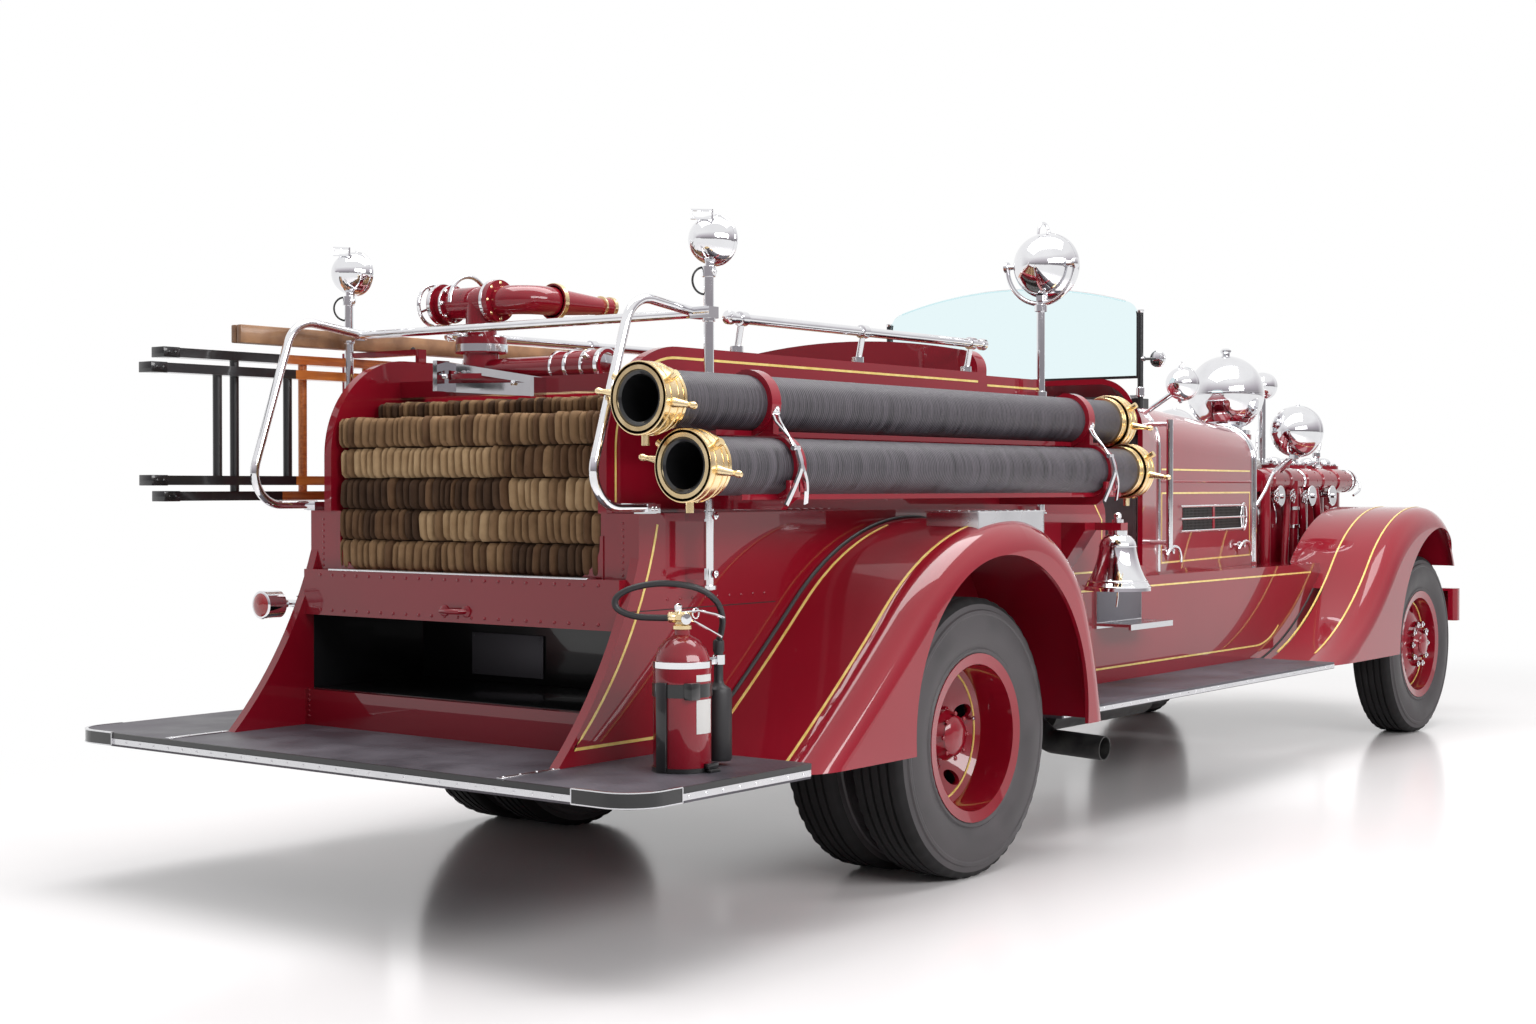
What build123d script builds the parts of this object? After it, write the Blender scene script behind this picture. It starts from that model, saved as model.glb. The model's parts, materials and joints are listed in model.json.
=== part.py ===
from build123d import *
import os
from math import cos, radians, sin

# Sizes are in millimetres. X runs forward from the rear axle, Y to the left, Z up from the ground.

# Wheels and axles
WHEELBASE = 5080.0
TYRE_RADIUS = 485.0
TYRE_WIDTH = 232.0
TREAD_WIDTH = 184.0
BEAD_RADIUS = 268.0
RIM_FLANGE = 24.0
FRONT_TYRE_Y = 800.0
DUAL_Y = 907.0
DUAL_SPACING = 272.0
KINGPIN_Y = 650.0
SPINDLE_R = 40.0
REAR_SPINDLE_R = 45.0
RUNNING = 0.3

# Frame
RAIL_OUT = 445.0
RAIL_IN = 370.0
RAIL_BOTTOM = 640.0
RAIL_TOP = 820.0
FRAME_REAR = -790.0
FRAME_FRONT = WHEELBASE + 800.0
BUMPER_DEPTH = 80.0

# Rear step and running boards
STEP_REAR = -1936.0
STEP_FRONT = -1137.0
STEP_HALF = 1262.0
STEP_TOP = 530.0
STEP_THICK = 46.0
BOARD_TOP = 500.0
BOARD_HALF = 1040.0

# Body
BED_HALF = 650.0
LEDGE_WIDTH = 105.0
LOWER_HALF = BED_HALF + LEDGE_WIDTH
LOWER_SKIN = 35.0
LEDGE_TOP = 1270.0
FLOOR_TOP = 1068.0
FLOOR_THICK = 33.0
BED_WALL = 35.0
BED_TOP = 1800.0
BED_REAR = -1360.0
CAB_REAR = 850.0
SHELF_TOP = 950.0
COWL_REAR = 2265.0
HOOD_REAR = 2525.0
HOOD_FRONT = 3905.0

# Rear hand rails and lamps
LOOP_Y = LOWER_HALF + 21.0
POST_X = -1087.0
POST_Y = LOWER_HALF + 78.0
CROSSBAR_Z = 1895.0

# Deck gun
GUN_X = -980.0
GUN_Y = 270.0
GUN_SWIVEL_Z = 1850.0
GUN_TRUNNION_Z = 1995.0
GUN_BORE_Y = 55.0
GUN_INLET_Z = 1757.0

MID_X = (STEP_REAR + FRAME_FRONT + BUMPER_DEPTH) / 2.0
AXLE_Z = TYRE_RADIUS


def block(x0, x1, y0, y1, z0, z1):
    """Box between two corners, given in either order."""
    return Pos((x0 + x1) / 2, (y0 + y1) / 2, (z0 + z1) / 2) * Box(abs(x1 - x0), abs(y1 - y0), abs(z1 - z0))


def rod(start, end, radius):
    run = Vector(*end) - Vector(*start)
    return Plane(origin=start, z_dir=run).location * Pos(0, 0, run.length / 2) * Cylinder(radius, run.length)


def tube(points, radius, bend):
    path = FilletPolyline(*points, radius=bend)
    disc = Plane(origin=path @ 0, z_dir=path % 0) * Circle(radius)
    return sweep(disc, path=path)


def slab(edges, y0, y1):
    face = Plane.XZ.offset(-y1) * make_face(edges)
    return extrude(face, amount=y1 - y0, dir=(0, -1, 0))


def cross_slab(edges, x0, x1):
    face = Plane.YZ.offset(x0) * make_face(edges)
    return extrude(face, amount=x1 - x0, dir=(1, 0, 0))


def turned(points):
    """Solid of revolution about Y from (radius, y) points."""
    return revolve(make_face(Polyline(*[(r, y) for r, y in points], close=True)), Axis.Y)


def left_right(shape):
    return [shape, mirror(shape, Plane.XZ)]


def solids_of(shape):
    if isinstance(shape, (list, tuple)):
        found = []
        for piece in shape:
            found.extend(solids_of(piece))
        return found
    return list(shape.solids())


# Running gear

def frame_rails():
    rail = block(FRAME_REAR, FRAME_FRONT, RAIL_IN, RAIL_OUT, RAIL_BOTTOM, RAIL_TOP)
    rail -= block(FRAME_REAR - 1, FRAME_FRONT + 1, RAIL_IN - 1, RAIL_OUT - 8, RAIL_BOTTOM + 8, RAIL_TOP - 8)
    frame = rail + mirror(rail, Plane.XZ)
    for x in (FRAME_REAR + 40, 760, 1500, 4150, FRAME_FRONT - 60):
        frame += block(x - 40, x + 40, -RAIL_OUT + 4, RAIL_OUT - 4, RAIL_TOP - 95, RAIL_TOP - 15)
    return frame


def front_bumper():
    x0 = FRAME_FRONT
    bar = block(x0, x0 + BUMPER_DEPTH, -835, 835, 568, 756)
    bar = fillet(bar.edges().filter_by(Axis.Z), 30)
    bar -= block(x0 - 1, x0 + BUMPER_DEPTH - 14, -785, 785, 584, 740)
    for side in (-1, 1):
        y = side * (RAIL_IN + RAIL_OUT) / 2
        bar += block(x0, x0 + BUMPER_DEPTH - 10, y - 30, y + 30, 645, 726)
    bar += block(x0 + 15, x0 + 65, -15, 15, 520, 580) + rod((x0 + 40, -15, 520), (x0 + 40, 15, 520), 40)
    return bar - rod((x0 + 40, -20, 520), (x0 + 40, 20, 520), 22)


def front_axle():
    x = WHEELBASE
    beam = block(x - 35, x + 35, -KINGPIN_Y + 28, KINGPIN_Y - 28, AXLE_Z - 42, AXLE_Z + 40)
    for side in (-1, 1):
        beam -= block(x + side * 12, x + side * 40, -KINGPIN_Y + 80, KINGPIN_Y - 80, AXLE_Z - 26, AXLE_Z + 24)
    for side in (-1, 1):
        y = side * KINGPIN_Y
        beam += rod((x, y, AXLE_Z - 42), (x, y, AXLE_Z + 42), 38)
        beam -= rod((x, y, AXLE_Z - 60), (x, y, AXLE_Z + 60), 20)
    return beam


def leaf_spring(x, y, seat, half, rise, width, leaves):
    thick = 14.0
    top = seat + 16 + leaves * thick
    pack = None
    for i in range(leaves):
        reach = half * (1 - 0.2 * i)
        lift = rise * (reach / half) ** 2
        z = top - (i + 1) * thick
        low = ThreePointArc((x - reach, z + lift), (x, z), (x + reach, z + lift))
        high = ThreePointArc((x - reach, z + lift + thick), (x, z + thick), (x + reach, z + lift + thick))
        ends = [Line(low @ 0, high @ 0), Line(low @ 1, high @ 1)]
        leaf = slab([low, high] + ends, y - width / 2, y + width / 2)
        pack = leaf if pack is None else pack + leaf
    return pack + block(x - 70, x + 70, y - width / 2 - 6, y + width / 2 + 6, seat, top + 10)


def leaf_springs():
    made = []
    for side in (-1, 1):
        y = side * 400.0
        spring = leaf_spring(WHEELBASE, y, AXLE_Z + 40, 480, 30, 64, 4)
        for x in (WHEELBASE - 455, WHEELBASE + 455):
            spring += block(x - 30, x + 30, y - 34, y + 34, AXLE_Z + 100, RAIL_BOTTOM)
        made.append(spring)
        y = side * 490.0
        spring = leaf_spring(0, y, AXLE_Z + 64, 600, 40, 76, 5)
        for x in (-570, 570):
            spring += block(x - 32, x + 32, y - 38, y + 38, AXLE_Z + 150, AXLE_Z + 215)
            spring += block(x - 32, x + 32, min(y, side * RAIL_OUT), max(y, side * RAIL_OUT), 650, 700)
        made.append(spring)
    return made


def rear_axle():
    axle = rod((0, -700, AXLE_Z), (0, 700, AXLE_Z), 64)
    for side in (-1, 1):
        axle += rod((0, side * 695, AXLE_Z), (0, side * (DUAL_Y + 106), AXLE_Z), REAR_SPINDLE_R)
        axle += block(-50, 50, side * 490 - 38, side * 490 + 38, AXLE_Z, AXLE_Z + 64)
    axle += Pos(0, 0, AXLE_Z) * Sphere(178)
    axle += rod((0, 0, AXLE_Z), (260, 0, AXLE_Z + 28), 80)
    axle += rod((200, 0, AXLE_Z + 22), (2079.7, 0, 720), 42)
    return axle - block(2079.7, 2300, -200, 200, 600, 900)


def engine():
    motor = block(2700, 3780, -260, 260, 700, 1400)
    motor += block(2080, 2700, -180, 180, 640, 880)
    for x in (2850, 3600):
        motor += block(x - 50, x + 50, -RAIL_OUT + 8, RAIL_OUT - 8, 750, 790)
    return motor


def knuckle():
    x = WHEELBASE
    y = KINGPIN_Y
    body = rod((x, y, AXLE_Z - 80), (x, y, AXLE_Z + 80), 20 - RUNNING)
    for z0, z1 in ((42.5, 80), (-80, -42.5)):
        body += rod((x, y, AXLE_Z + z0), (x, y, AXLE_Z + z1), 36)
        body += block(x - 36, x + 36, y, y + 72, AXLE_Z + z0, AXLE_Z + z1)
    body += block(x - 42, x + 42, y + 42, y + 72, AXLE_Z - 80, AXLE_Z + 80)
    body += rod((x, y + 70, AXLE_Z), (x, FRONT_TYRE_Y + 102, AXLE_Z), SPINDLE_R)
    body += block(x - 200, x - 40, y + 42, y + 72, AXLE_Z - 50, AXLE_Z - 22)
    return body


def tyre_ring(y):
    half = TYRE_WIDTH / 2
    r0 = BEAD_RADIUS + RUNNING
    mid = BEAD_RADIUS + 0.5 * (TYRE_RADIUS - BEAD_RADIUS)
    points = [(r0, 84), (mid, half), (TYRE_RADIUS, TREAD_WIDTH / 2)]
    points += [(TYRE_RADIUS, -TREAD_WIDTH / 2), (mid, -half), (r0, -84)]
    return turned([(r, y + w) for r, w in points])


def rim_ring(y):
    r = BEAD_RADIUS
    lip = r + RIM_FLANGE
    half = [(r, 84.6), (lip, 92), (lip, 104), (r - 14, 98)]
    points = half + [(a, -w) for a, w in reversed(half)]
    return turned([(a, y + w) for a, w in points])


def front_wheel():
    wheel = rim_ring(0)
    inner = BEAD_RADIUS - 12
    wheel += turned([(inner, 8), (130, 58), (60, 58), (60, 74), (130, 74), (inner, 24)])
    wheel += turned([(0, -55), (74, -55), (74, 92), (52, 118), (0, 128)])
    wheel += turned([(172, -66), (186, -66), (186, 10), (60, 10), (60, -2), (172, -2)])
    for i in range(10):
        a = radians(36 * i)
        wheel += rod((112 * cos(a), 72, 112 * sin(a)), (112 * cos(a), 94, 112 * sin(a)), 15)
    for i in range(5):
        a = radians(72 * i + 18)
        wheel -= rod((195 * cos(a), -20, 195 * sin(a)), (195 * cos(a), 120, 195 * sin(a)), 27)
    wheel -= rod((0, -60, 0), (0, 106, 0), SPINDLE_R + RUNNING)
    return wheel


def rear_wheel():
    inner = BEAD_RADIUS - 12
    wheel = rim_ring(DUAL_SPACING / 2) + rim_ring(-DUAL_SPACING / 2)
    wheel += turned([(inner, 84), (150, 0), (80, 0), (80, 16), (150, 16), (inner, 100)])
    wheel += turned([(inner, -84), (150, 0), (80, 0), (80, -16), (150, -16), (inner, -100)])
    wheel += turned([(0, -120), (88, -120), (88, 118), (66, 150), (0, 160)])
    wheel += turned([(188, -192), (204, -192), (204, -62), (70, -62), (70, -76), (188, -76)])
    for i in range(10):
        a = radians(36 * i)
        wheel += rod((124 * cos(a), 10, 124 * sin(a)), (124 * cos(a), 44, 124 * sin(a)), 16)
    for i in range(5):
        a = radians(72 * i + 18)
        wheel -= rod((205 * cos(a), -50, 205 * sin(a)), (205 * cos(a), 130, 205 * sin(a)), 26)
    wheel -= rod((0, -130, 0), (0, 110, 0), REAR_SPINDLE_R + RUNNING)
    return wheel


# Body

def fender_outline(tail, rise, crest, fall, tip):
    """Side curve of a fender: two arcs up from the tail to the level crest, two down to the tip."""
    back = TangentArc(crest, rise, tangent=(-1, 0))
    foot = TangentArc(back @ 1, tail, tangent=back % 1)
    front = TangentArc(crest, fall, tangent=(1, 0))
    nose = TangentArc(front @ 1, tip, tangent=front % 1)
    return back, foot, front, nose


def fender_blank(curves, base, y0, y1, roll):
    back, foot, front, nose = curves
    tail = foot @ 1
    tip = nose @ 1
    close = Polyline((tail.X, tail.Y), (tail.X, base), (tip.X, base), (tip.X, tip.Y))
    blank = slab([back, foot, front, nose, close], y0, y1)
    top = [e for e in blank.edges().filter_by_position(Axis.Y, y1 - 0.01, y1 + 0.01)
           if e.geom_type == GeomType.CIRCLE]
    return fillet(top, roll)


REAR_FENDER_Y = STEP_HALF - 12.0
REAR_FENDER = {"tail": (-1120, 490), "rise": (-550, 960), "crest": (180, 1240),
               "fall": (680, 900), "tip": (790, 490)}
FRONT_FENDER = {"tail": (WHEELBASE - 1580, 490), "rise": (WHEELBASE - 730, 950),
                "crest": (WHEELBASE - 30, 1240), "fall": (WHEELBASE + 320, 1070),
                "tip": (WHEELBASE + 410, 920)}
FENDER_SKIN = 14.0
FRONT_FENDER_Y = 1000.0


def inset(shape, d):
    tail, rise, crest, fall, tip = (shape[k] for k in ("tail", "rise", "crest", "fall", "tip"))
    return {"tail": (tail[0] + d * 1.4, tail[1]), "rise": (rise[0] + d * 0.67, rise[1] - d * 0.74),
            "crest": (crest[0], crest[1] - d), "fall": (fall[0] - d * 0.9, fall[1] - d * 0.4),
            "tip": (tip[0] - d * 1.05, tip[1])}


def rear_fender():
    outer = fender_blank(fender_outline(**REAR_FENDER), 484, LOWER_HALF, REAR_FENDER_Y, 110)
    inner = fender_blank(fender_outline(**inset(REAR_FENDER, FENDER_SKIN)), 470, LOWER_HALF - 5,
                         REAR_FENDER_Y - FENDER_SKIN, 110 - FENDER_SKIN)
    arch = ThreePointArc((-540, 500), (30, 1118), (612, 500))
    mouth = slab([arch, Polyline((612, 500), (612, 400), (-540, 400), (-540, 500))],
                 REAR_FENDER_Y - 150, REAR_FENDER_Y + 50)
    return outer - inner - mouth


def front_fender():
    outer = fender_blank(fender_outline(**FRONT_FENDER), 470, RAIL_OUT + 9, FRONT_FENDER_Y, 110)
    inner = fender_blank(fender_outline(**inset(FRONT_FENDER, FENDER_SKIN)), 460, RAIL_OUT + 9 + FENDER_SKIN,
                         FRONT_FENDER_Y - FENDER_SKIN, 110 - FENDER_SKIN)
    x = WHEELBASE
    edge = [Line((x - 575, 400), (x - 575, 478)),
            ThreePointArc((x - 575, 478), (x - 404, 908), (x + 20, 1126)),
            ThreePointArc((x + 20, 1126), (x + 240, 1072), (x + 390, 935)),
            Polyline((x + 390, 935), (x + 620, 935), (x + 620, 400), (x - 575, 400))]
    body = outer - inner - slab(edge, FRONT_FENDER_Y - 40, FRONT_FENDER_Y + 60)
    body -= block(x - 1780, x - 780, 400, 640, 400, 1300)
    body -= block(x - 1780, x + 620, 400, 700, 400, RAIL_TOP)
    return body - block(x, x + 620, 400, 1100, 400, 905)


def lower_body():
    arch = ThreePointArc((640, 500), (30, 1115), (-580, 500))
    edge = ThreePointArc((-1690, STEP_TOP), (-1478, 802), (-1300, LEDGE_TOP - 20))
    side = [Line((870, BOARD_TOP), (640, BOARD_TOP)), arch,
            Polyline((-580, 500), (-580, STEP_TOP), (-1690, STEP_TOP)), edge,
            Polyline((-1300, LEDGE_TOP - 20), (870, LEDGE_TOP - 20), (870, BOARD_TOP))]
    panel = slab(side, LOWER_HALF - LOWER_SKIN, LOWER_HALF)
    panel += block(-1300, 870, BED_HALF, LOWER_HALF, LEDGE_TOP - 20, LEDGE_TOP)
    panel += block(-1330, -1300, BED_HALF - 50, LOWER_HALF, FLOOR_TOP - 20, LEDGE_TOP)
    body = panel + mirror(panel, Plane.XZ)
    half = LOWER_HALF - LOWER_SKIN + 5
    body += block(-1387, CAB_REAR, -half, half, FLOOR_TOP - FLOOR_THICK, FLOOR_TOP)
    body += block(-1387, -1352, -half, half, 912, FLOOR_TOP)
    body += block(-1387, -1352, -half, half, STEP_TOP, 653)
    body += block(-1360, -800, -half, half, 620, 653)
    body += block(-835, -800, -half, half, 620, FLOOR_TOP)
    for x in (-600, 0, 650):
        body += block(x - 45, x + 45, -RAIL_OUT, RAIL_OUT, RAIL_TOP, FLOOR_TOP - 10)
    return body


def arched_wall(x0, x1, base):
    """Cross wall with a crowned top and rounded shoulders."""
    half = BED_HALF
    shoulder = ThreePointArc((half, 1800), (half - 18, 1862), (half - 80, 1893))
    crown = ThreePointArc((half - 80, 1893), (0, 1946), (80 - half, 1893))
    fall = ThreePointArc((80 - half, 1893), (18 - half, 1862), (-half, 1800))
    rest = Polyline((-half, 1800), (-half, base), (half, base), (half, 1800))
    return cross_slab([shoulder, crown, fall, rest], x0, x1)


def hose_body():
    middle = (-1020 - 340 * cos(radians(45)), 1460 + 340 * sin(radians(45)))
    sweep_up = ThreePointArc((BED_REAR, 1460), middle, (-1020, BED_TOP))
    wall = slab([sweep_up, Polyline((-1020, BED_TOP), (CAB_REAR, BED_TOP), (CAB_REAR, FLOOR_TOP),
                                    (BED_REAR, FLOOR_TOP), (BED_REAR, 1460))], BED_HALF - BED_WALL, BED_HALF)
    wall -= block(-1400, -1300, BED_HALF - 51, BED_HALF + 1, FLOOR_TOP - 5, LEDGE_TOP)
    walls = wall + mirror(wall, Plane.XZ)
    return walls + arched_wall(CAB_REAR - 35, CAB_REAR, FLOOR_TOP)


def hose_load():
    half = BED_HALF - BED_WALL - 17
    load = block(-1345, 640, -half, half, FLOOR_TOP + 0.3, 1590)
    return load + block(-1180, 640, -half, half, 1590, 1650)


def rear_step():
    plate = block(STEP_REAR, STEP_FRONT, -STEP_HALF, STEP_HALF, STEP_TOP - STEP_THICK, STEP_TOP)
    corners = [e for e in plate.edges().filter_by(Axis.Z) if e.center().X < STEP_REAR + 1]
    return fillet(corners, 110)


def running_boards():
    board = block(792, WHEELBASE - 1584, 640, BOARD_HALF, BOARD_TOP - 30, BOARD_TOP)
    return left_right(board)


def aprons():
    plate = block(872, WHEELBASE - 780, 622, 640, BOARD_TOP - 30, SHELF_TOP)
    plate += block(872, WHEELBASE - 780, RAIL_OUT, 640, SHELF_TOP - 14, SHELF_TOP)
    plate += block(872, WHEELBASE - 780, RAIL_OUT, RAIL_OUT + 14, 700, SHELF_TOP)
    return left_right(plate)


def hood_section(x, half, top, corner, bottom):
    side = half - corner
    rise = top - corner
    bend = corner * (1 - sin(radians(45)))
    edges = [Line((-half, bottom), (-half, rise)),
             ThreePointArc((-half, rise), (-half + bend, top - bend), (-side, top)),
             Line((-side, top), (side, top)),
             ThreePointArc((side, top), (half - bend, top - bend), (half, rise)),
             Polyline((half, rise), (half, bottom), (-half, bottom))]
    return Plane.YZ.offset(x) * make_face(edges)


COWL_SECTION = (2150, 655, 1835, 180)
DASH_SECTION = (HOOD_REAR, 585, 1740, 200)
NOSE_SECTION = (HOOD_FRONT, 430, 1672, 190)


def shell_between(rear, front, skin, bottom, floor):
    outer = loft([hood_section(*rear, bottom), hood_section(*front, bottom)], ruled=True)
    hollow = []
    for x, half, top, corner in (rear, front):
        hollow.append(hood_section(x, half - skin, top - skin, corner - skin, floor))
    return outer - loft(hollow, ruled=True)


def cowl():
    shell = shell_between(COWL_SECTION, DASH_SECTION, 24, SHELF_TOP, SHELF_TOP + 35)
    notch = [Polyline((2100, 900), (COWL_REAR, 900), (COWL_REAR, 1590)),
             ThreePointArc((COWL_REAR, 1590), (2220, 1690), (2100, 1730)),
             Line((2100, 1730), (2100, 900))]
    shell -= slab(notch, -700, 700)
    front = extrude(hood_section(*DASH_SECTION, SHELF_TOP), amount=-24)
    shell += front
    strip = shell_between(DASH_SECTION, NOSE_SECTION, 14, SHELF_TOP, SHELF_TOP - 10)
    return shell + (strip & block(HOOD_REAR, HOOD_FRONT, -14, 14, 1500, 1800))


VENT_SLOTS = 13
VENT_PITCH = 31.0


def hood_side():
    """Left half of the hood."""
    shell = shell_between(DASH_SECTION, NOSE_SECTION, 14, SHELF_TOP, SHELF_TOP - 10)
    half = shell & block(HOOD_REAR + 5, HOOD_FRONT - 5, 14.5, 700, SHELF_TOP + 0.3, 1800)
    slots = []
    for first in (2930, 3362):
        for i in range(VENT_SLOTS):
            x = first + i * VENT_PITCH
            slots.append(block(x, x + 20, 380, 640, 1146, 1252))
    return half - slots


def radiator():
    x0 = HOOD_FRONT
    outer = extrude(hood_section(x0, 430, 1672, 190, RAIL_TOP), amount=64)
    core = extrude(hood_section(x0 + 50, 390, 1632, 150, RAIL_TOP + 60), amount=30)
    return outer - core


def windshield_outline(grow):
    half = 655 + grow
    low = 1845 - grow
    turn = 60.0
    return [ThreePointArc((-half + turn, 2180 + grow), (0, 2262 + grow), (half - turn, 2180 + grow)),
            ThreePointArc((half - turn, 2180 + grow), (half - 14, 2152), (half, 2110)),
            Polyline((half, 2110), (half, low), (-half, low), (-half, 2110)),
            ThreePointArc((-half, 2110), (-half + 14, 2152), (-half + turn, 2180 + grow))]


def windshield_glass():
    return cross_slab(windshield_outline(-0.2), 2166, 2174)


def windshield_frame():
    frame = cross_slab(windshield_outline(12), 2158, 2182)
    frame -= cross_slab(windshield_outline(0), 2150, 2190)
    frame &= block(2100, 2200, -700, 700, 1800, 2130)
    for side in (-1, 1):
        frame += rod((2170, side * 669, 1700), (2170, side * 669, 2130), 13)
        frame += block(2158, 2260, side * 648 - 16, side * 648 + 16, 1700, 1745)
    mirror_y = -735
    frame += rod((2170, -669, 1919), (2204, mirror_y, 1919), 6)
    return frame + rod((2198, mirror_y, 1919), (2212, mirror_y, 1919), 34)


def cab_body():
    side = [Polyline((CAB_REAR, SHELF_TOP), (CAB_REAR, 1790), (1330, 1790)),
            ThreePointArc((1330, 1790), (1540, 1480), (1800, 1310)),
            ThreePointArc((1800, 1310), (1860, 1280), (1880, 1220)),
            Polyline((1880, 1220), (1880, 1000), (COWL_REAR, 1000), (COWL_REAR, SHELF_TOP),
                     (CAB_REAR, SHELF_TOP))]
    panel = slab(side, BED_HALF - BED_WALL, BED_HALF)
    body = panel + mirror(panel, Plane.XZ)
    half = BED_HALF - BED_WALL + 5
    body += arched_wall(CAB_REAR, CAB_REAR + 35, SHELF_TOP)
    body += block(CAB_REAR, COWL_REAR, -half, half, SHELF_TOP, SHELF_TOP + 35)
    body += block(CAB_REAR, 1640, -half, half, SHELF_TOP, 1180)
    for x in (1000, 1850):
        body += block(x - 40, x + 40, -RAIL_OUT, RAIL_OUT, RAIL_TOP, SHELF_TOP + 10)
    return body


def seat():
    back = [Polyline((885.5, 1180.3), (1660, 1180.3), (1660, 1300), (1080, 1300), (1000, 1740), (885.5, 1740),
                     (885.5, 1180.3))]
    return slab(back, 50 - BED_HALF, BED_HALF - 50)


def steering_wheel():
    hub = (1800, 330, 1590)
    foot = (2210, 330, 960)
    lean = Vector(*hub) - Vector(*foot)
    place = Plane(origin=hub, z_dir=lean).location
    wheel = place * Torus(215, 14)
    wheel += place * Pos(0, 0, -8) * Cylinder(40, 24)
    for i in range(4):
        wheel += place * Rot(0, 0, 90 * i + 45) * Pos(107, 0, 0) * Box(214, 22, 12)
    column = rod(hub, foot, 24)
    return wheel + (column - block(2000, 2400, 200, 500, 800, SHELF_TOP + 35))


# Rails, lamps and gear

HANDLE_FOOT = 597.0


def grab_rails(shell):
    tube_r = 15.0
    rails = []
    for side in (-1, 1):
        y = side * LOOP_Y
        bends = [(POST_X + 30, y, CROSSBAR_Z), (-1385, y, 1935), (-1600, y, 1290), (-1290, y, 1290)]
        loop = tube(bends, tube_r, 110)
        loop += block(-1330, -1272, min(y, y - side * 40), max(y, y - side * 40), LEDGE_TOP, 1300)
        loop += block(-1330, -1272, y - 16, y + 16, LEDGE_TOP + 2, 1300)
        post = rod((POST_X, side * POST_Y, 1030), (POST_X, side * POST_Y, 2030), 16)
        for z in (1080, 1262):
            low = min(side * LOWER_HALF, side * POST_Y)
            post += block(POST_X - 22, POST_X + 22, low, low + POST_Y - LOWER_HALF, z - 18, z + 18)
        low = min(y, side * (POST_Y + 20))
        high = low + POST_Y + 20 - LOOP_Y
        post += block(POST_X - 24, POST_X + 24, low, high, CROSSBAR_Z - 18, CROSSBAR_Z + 18)
        rails.append(loop + post)
    end = LOOP_Y - tube_r - RUNNING
    rails.append(rod((POST_X, -end, CROSSBAR_Z), (POST_X, end, CROSSBAR_Z), tube_r))
    for side in (-1, 1):
        handle = rod((2390, side * 705, 1070), (2390, side * 705, 1655), 15)
        for z in (1100, 1635):
            handle += rod((2390, side * 705, z), (2390, side * HANDLE_FOOT, z), 11)
        rails.append(handle - shell)
    return rails


def side_rails():
    y = BED_HALF + 5
    foot = BED_HALF - 18
    rail = rod((-745, y, 1910), (830, y, 1910), 17)
    for x in (-690, 20, 760):
        rail += rod((x, foot, BED_TOP), (x, foot, BED_TOP + 20), 22)
        rail += rod((x, foot, BED_TOP), (x, y, 1910), 11)
    return left_right(rail - block(-900, 900, BED_HALF - 150, BED_HALF + 50, BED_TOP - 100, BED_TOP))


def lamp(centre, radius, depth, aim):
    """Bowl lamp with its face towards aim."""
    face = 0.22 * radius
    bowl = [ThreePointArc((0, radius), (-0.72 * depth, 0.66 * radius), (-depth, 0)),
            Line((-depth, 0), (0.37 * radius, 0)),
            ThreePointArc((0.37 * radius, 0), (0.33 * radius, 0.5 * radius), (face, 0.9 * radius)),
            Polyline((face, 0.9 * radius), (face, radius), (0, radius))]
    body = Rot(37, 0, 0) * revolve(make_face(bowl), Axis.X)
    place = Plane(origin=centre, x_dir=aim, z_dir=(0, 0, 1)).location
    return place * body


def spot_lamps(shell):
    made = []
    for side in (-1, 1):
        one = lamp((POST_X + 30, side * POST_Y, 2122), 78, 95, (1, 0, 0))
        made.append(one + rod((POST_X, side * POST_Y, 2030), (POST_X, side * POST_Y, 2100), 12))
    tail = rod((-1500, 810, 945), (-1432, 810, 945), 48) + rod((-1440, 810, 945), (-1382, 810, 945), 14)
    tail += rod((-1385, LOWER_HALF, 945), (-1385, 820, 945), 14)
    made.append(tail)
    for side in (-1, 1):
        one = lamp((2480, side * 725, 1820), 75, 90, (1, 0, 0))
        made.append(one + (rod((2440, side * 540, 1680), (2446, side * 705, 1785), 12) - shell))
    return made


def searchlight():
    x, y = 1226.0, -BED_HALF - 50.0
    post = rod((x, y, 1240), (x, y, 2090), 17)
    for z in (1290, 1720):
        post += block(x - 22, x + 22, y, -BED_HALF, z - 18, z + 18)
    light = lamp((x + 50, y, 2250), 134, 150, (1, 0, 0))
    bow = Plane.XY * Pos(0, 156) * Circle(10)
    fork = Pos(x, y, 2250) * revolve(bow, Axis.X, revolution_arc=-180)
    fork += rod((x, y - 166, 2250), (x, y + 166, 2250), 10) + rod((x, y, 2080), (x, y, 2100), 17)
    return post + fork + light


SUCTION = [{"y": -BED_HALF - 300, "z": 1610, "rear": -1560, "front": 1375},
           {"y": -BED_HALF - 400, "z": 1414, "rear": -1478, "front": 1330}]
SUCTION_R = 88.0
SUCTION_BORE = 76.0
COUPLING_LONG = 108.0
COUPLING_BORE = 84.0


def suction_hoses():
    made = []
    for h in SUCTION:
        y, z = h["y"], h["z"]
        rear, front = h["rear"] + COUPLING_LONG, h["front"] - COUPLING_LONG
        hose = rod((rear, y, z), (front, y, z), SUCTION_R)
        hose -= rod((rear - 1, y, z), (rear + 260, y, z), SUCTION_BORE)
        made.append(hose - rod((front - 260, y, z), (front + 1, y, z), SUCTION_BORE))
    return made


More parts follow.
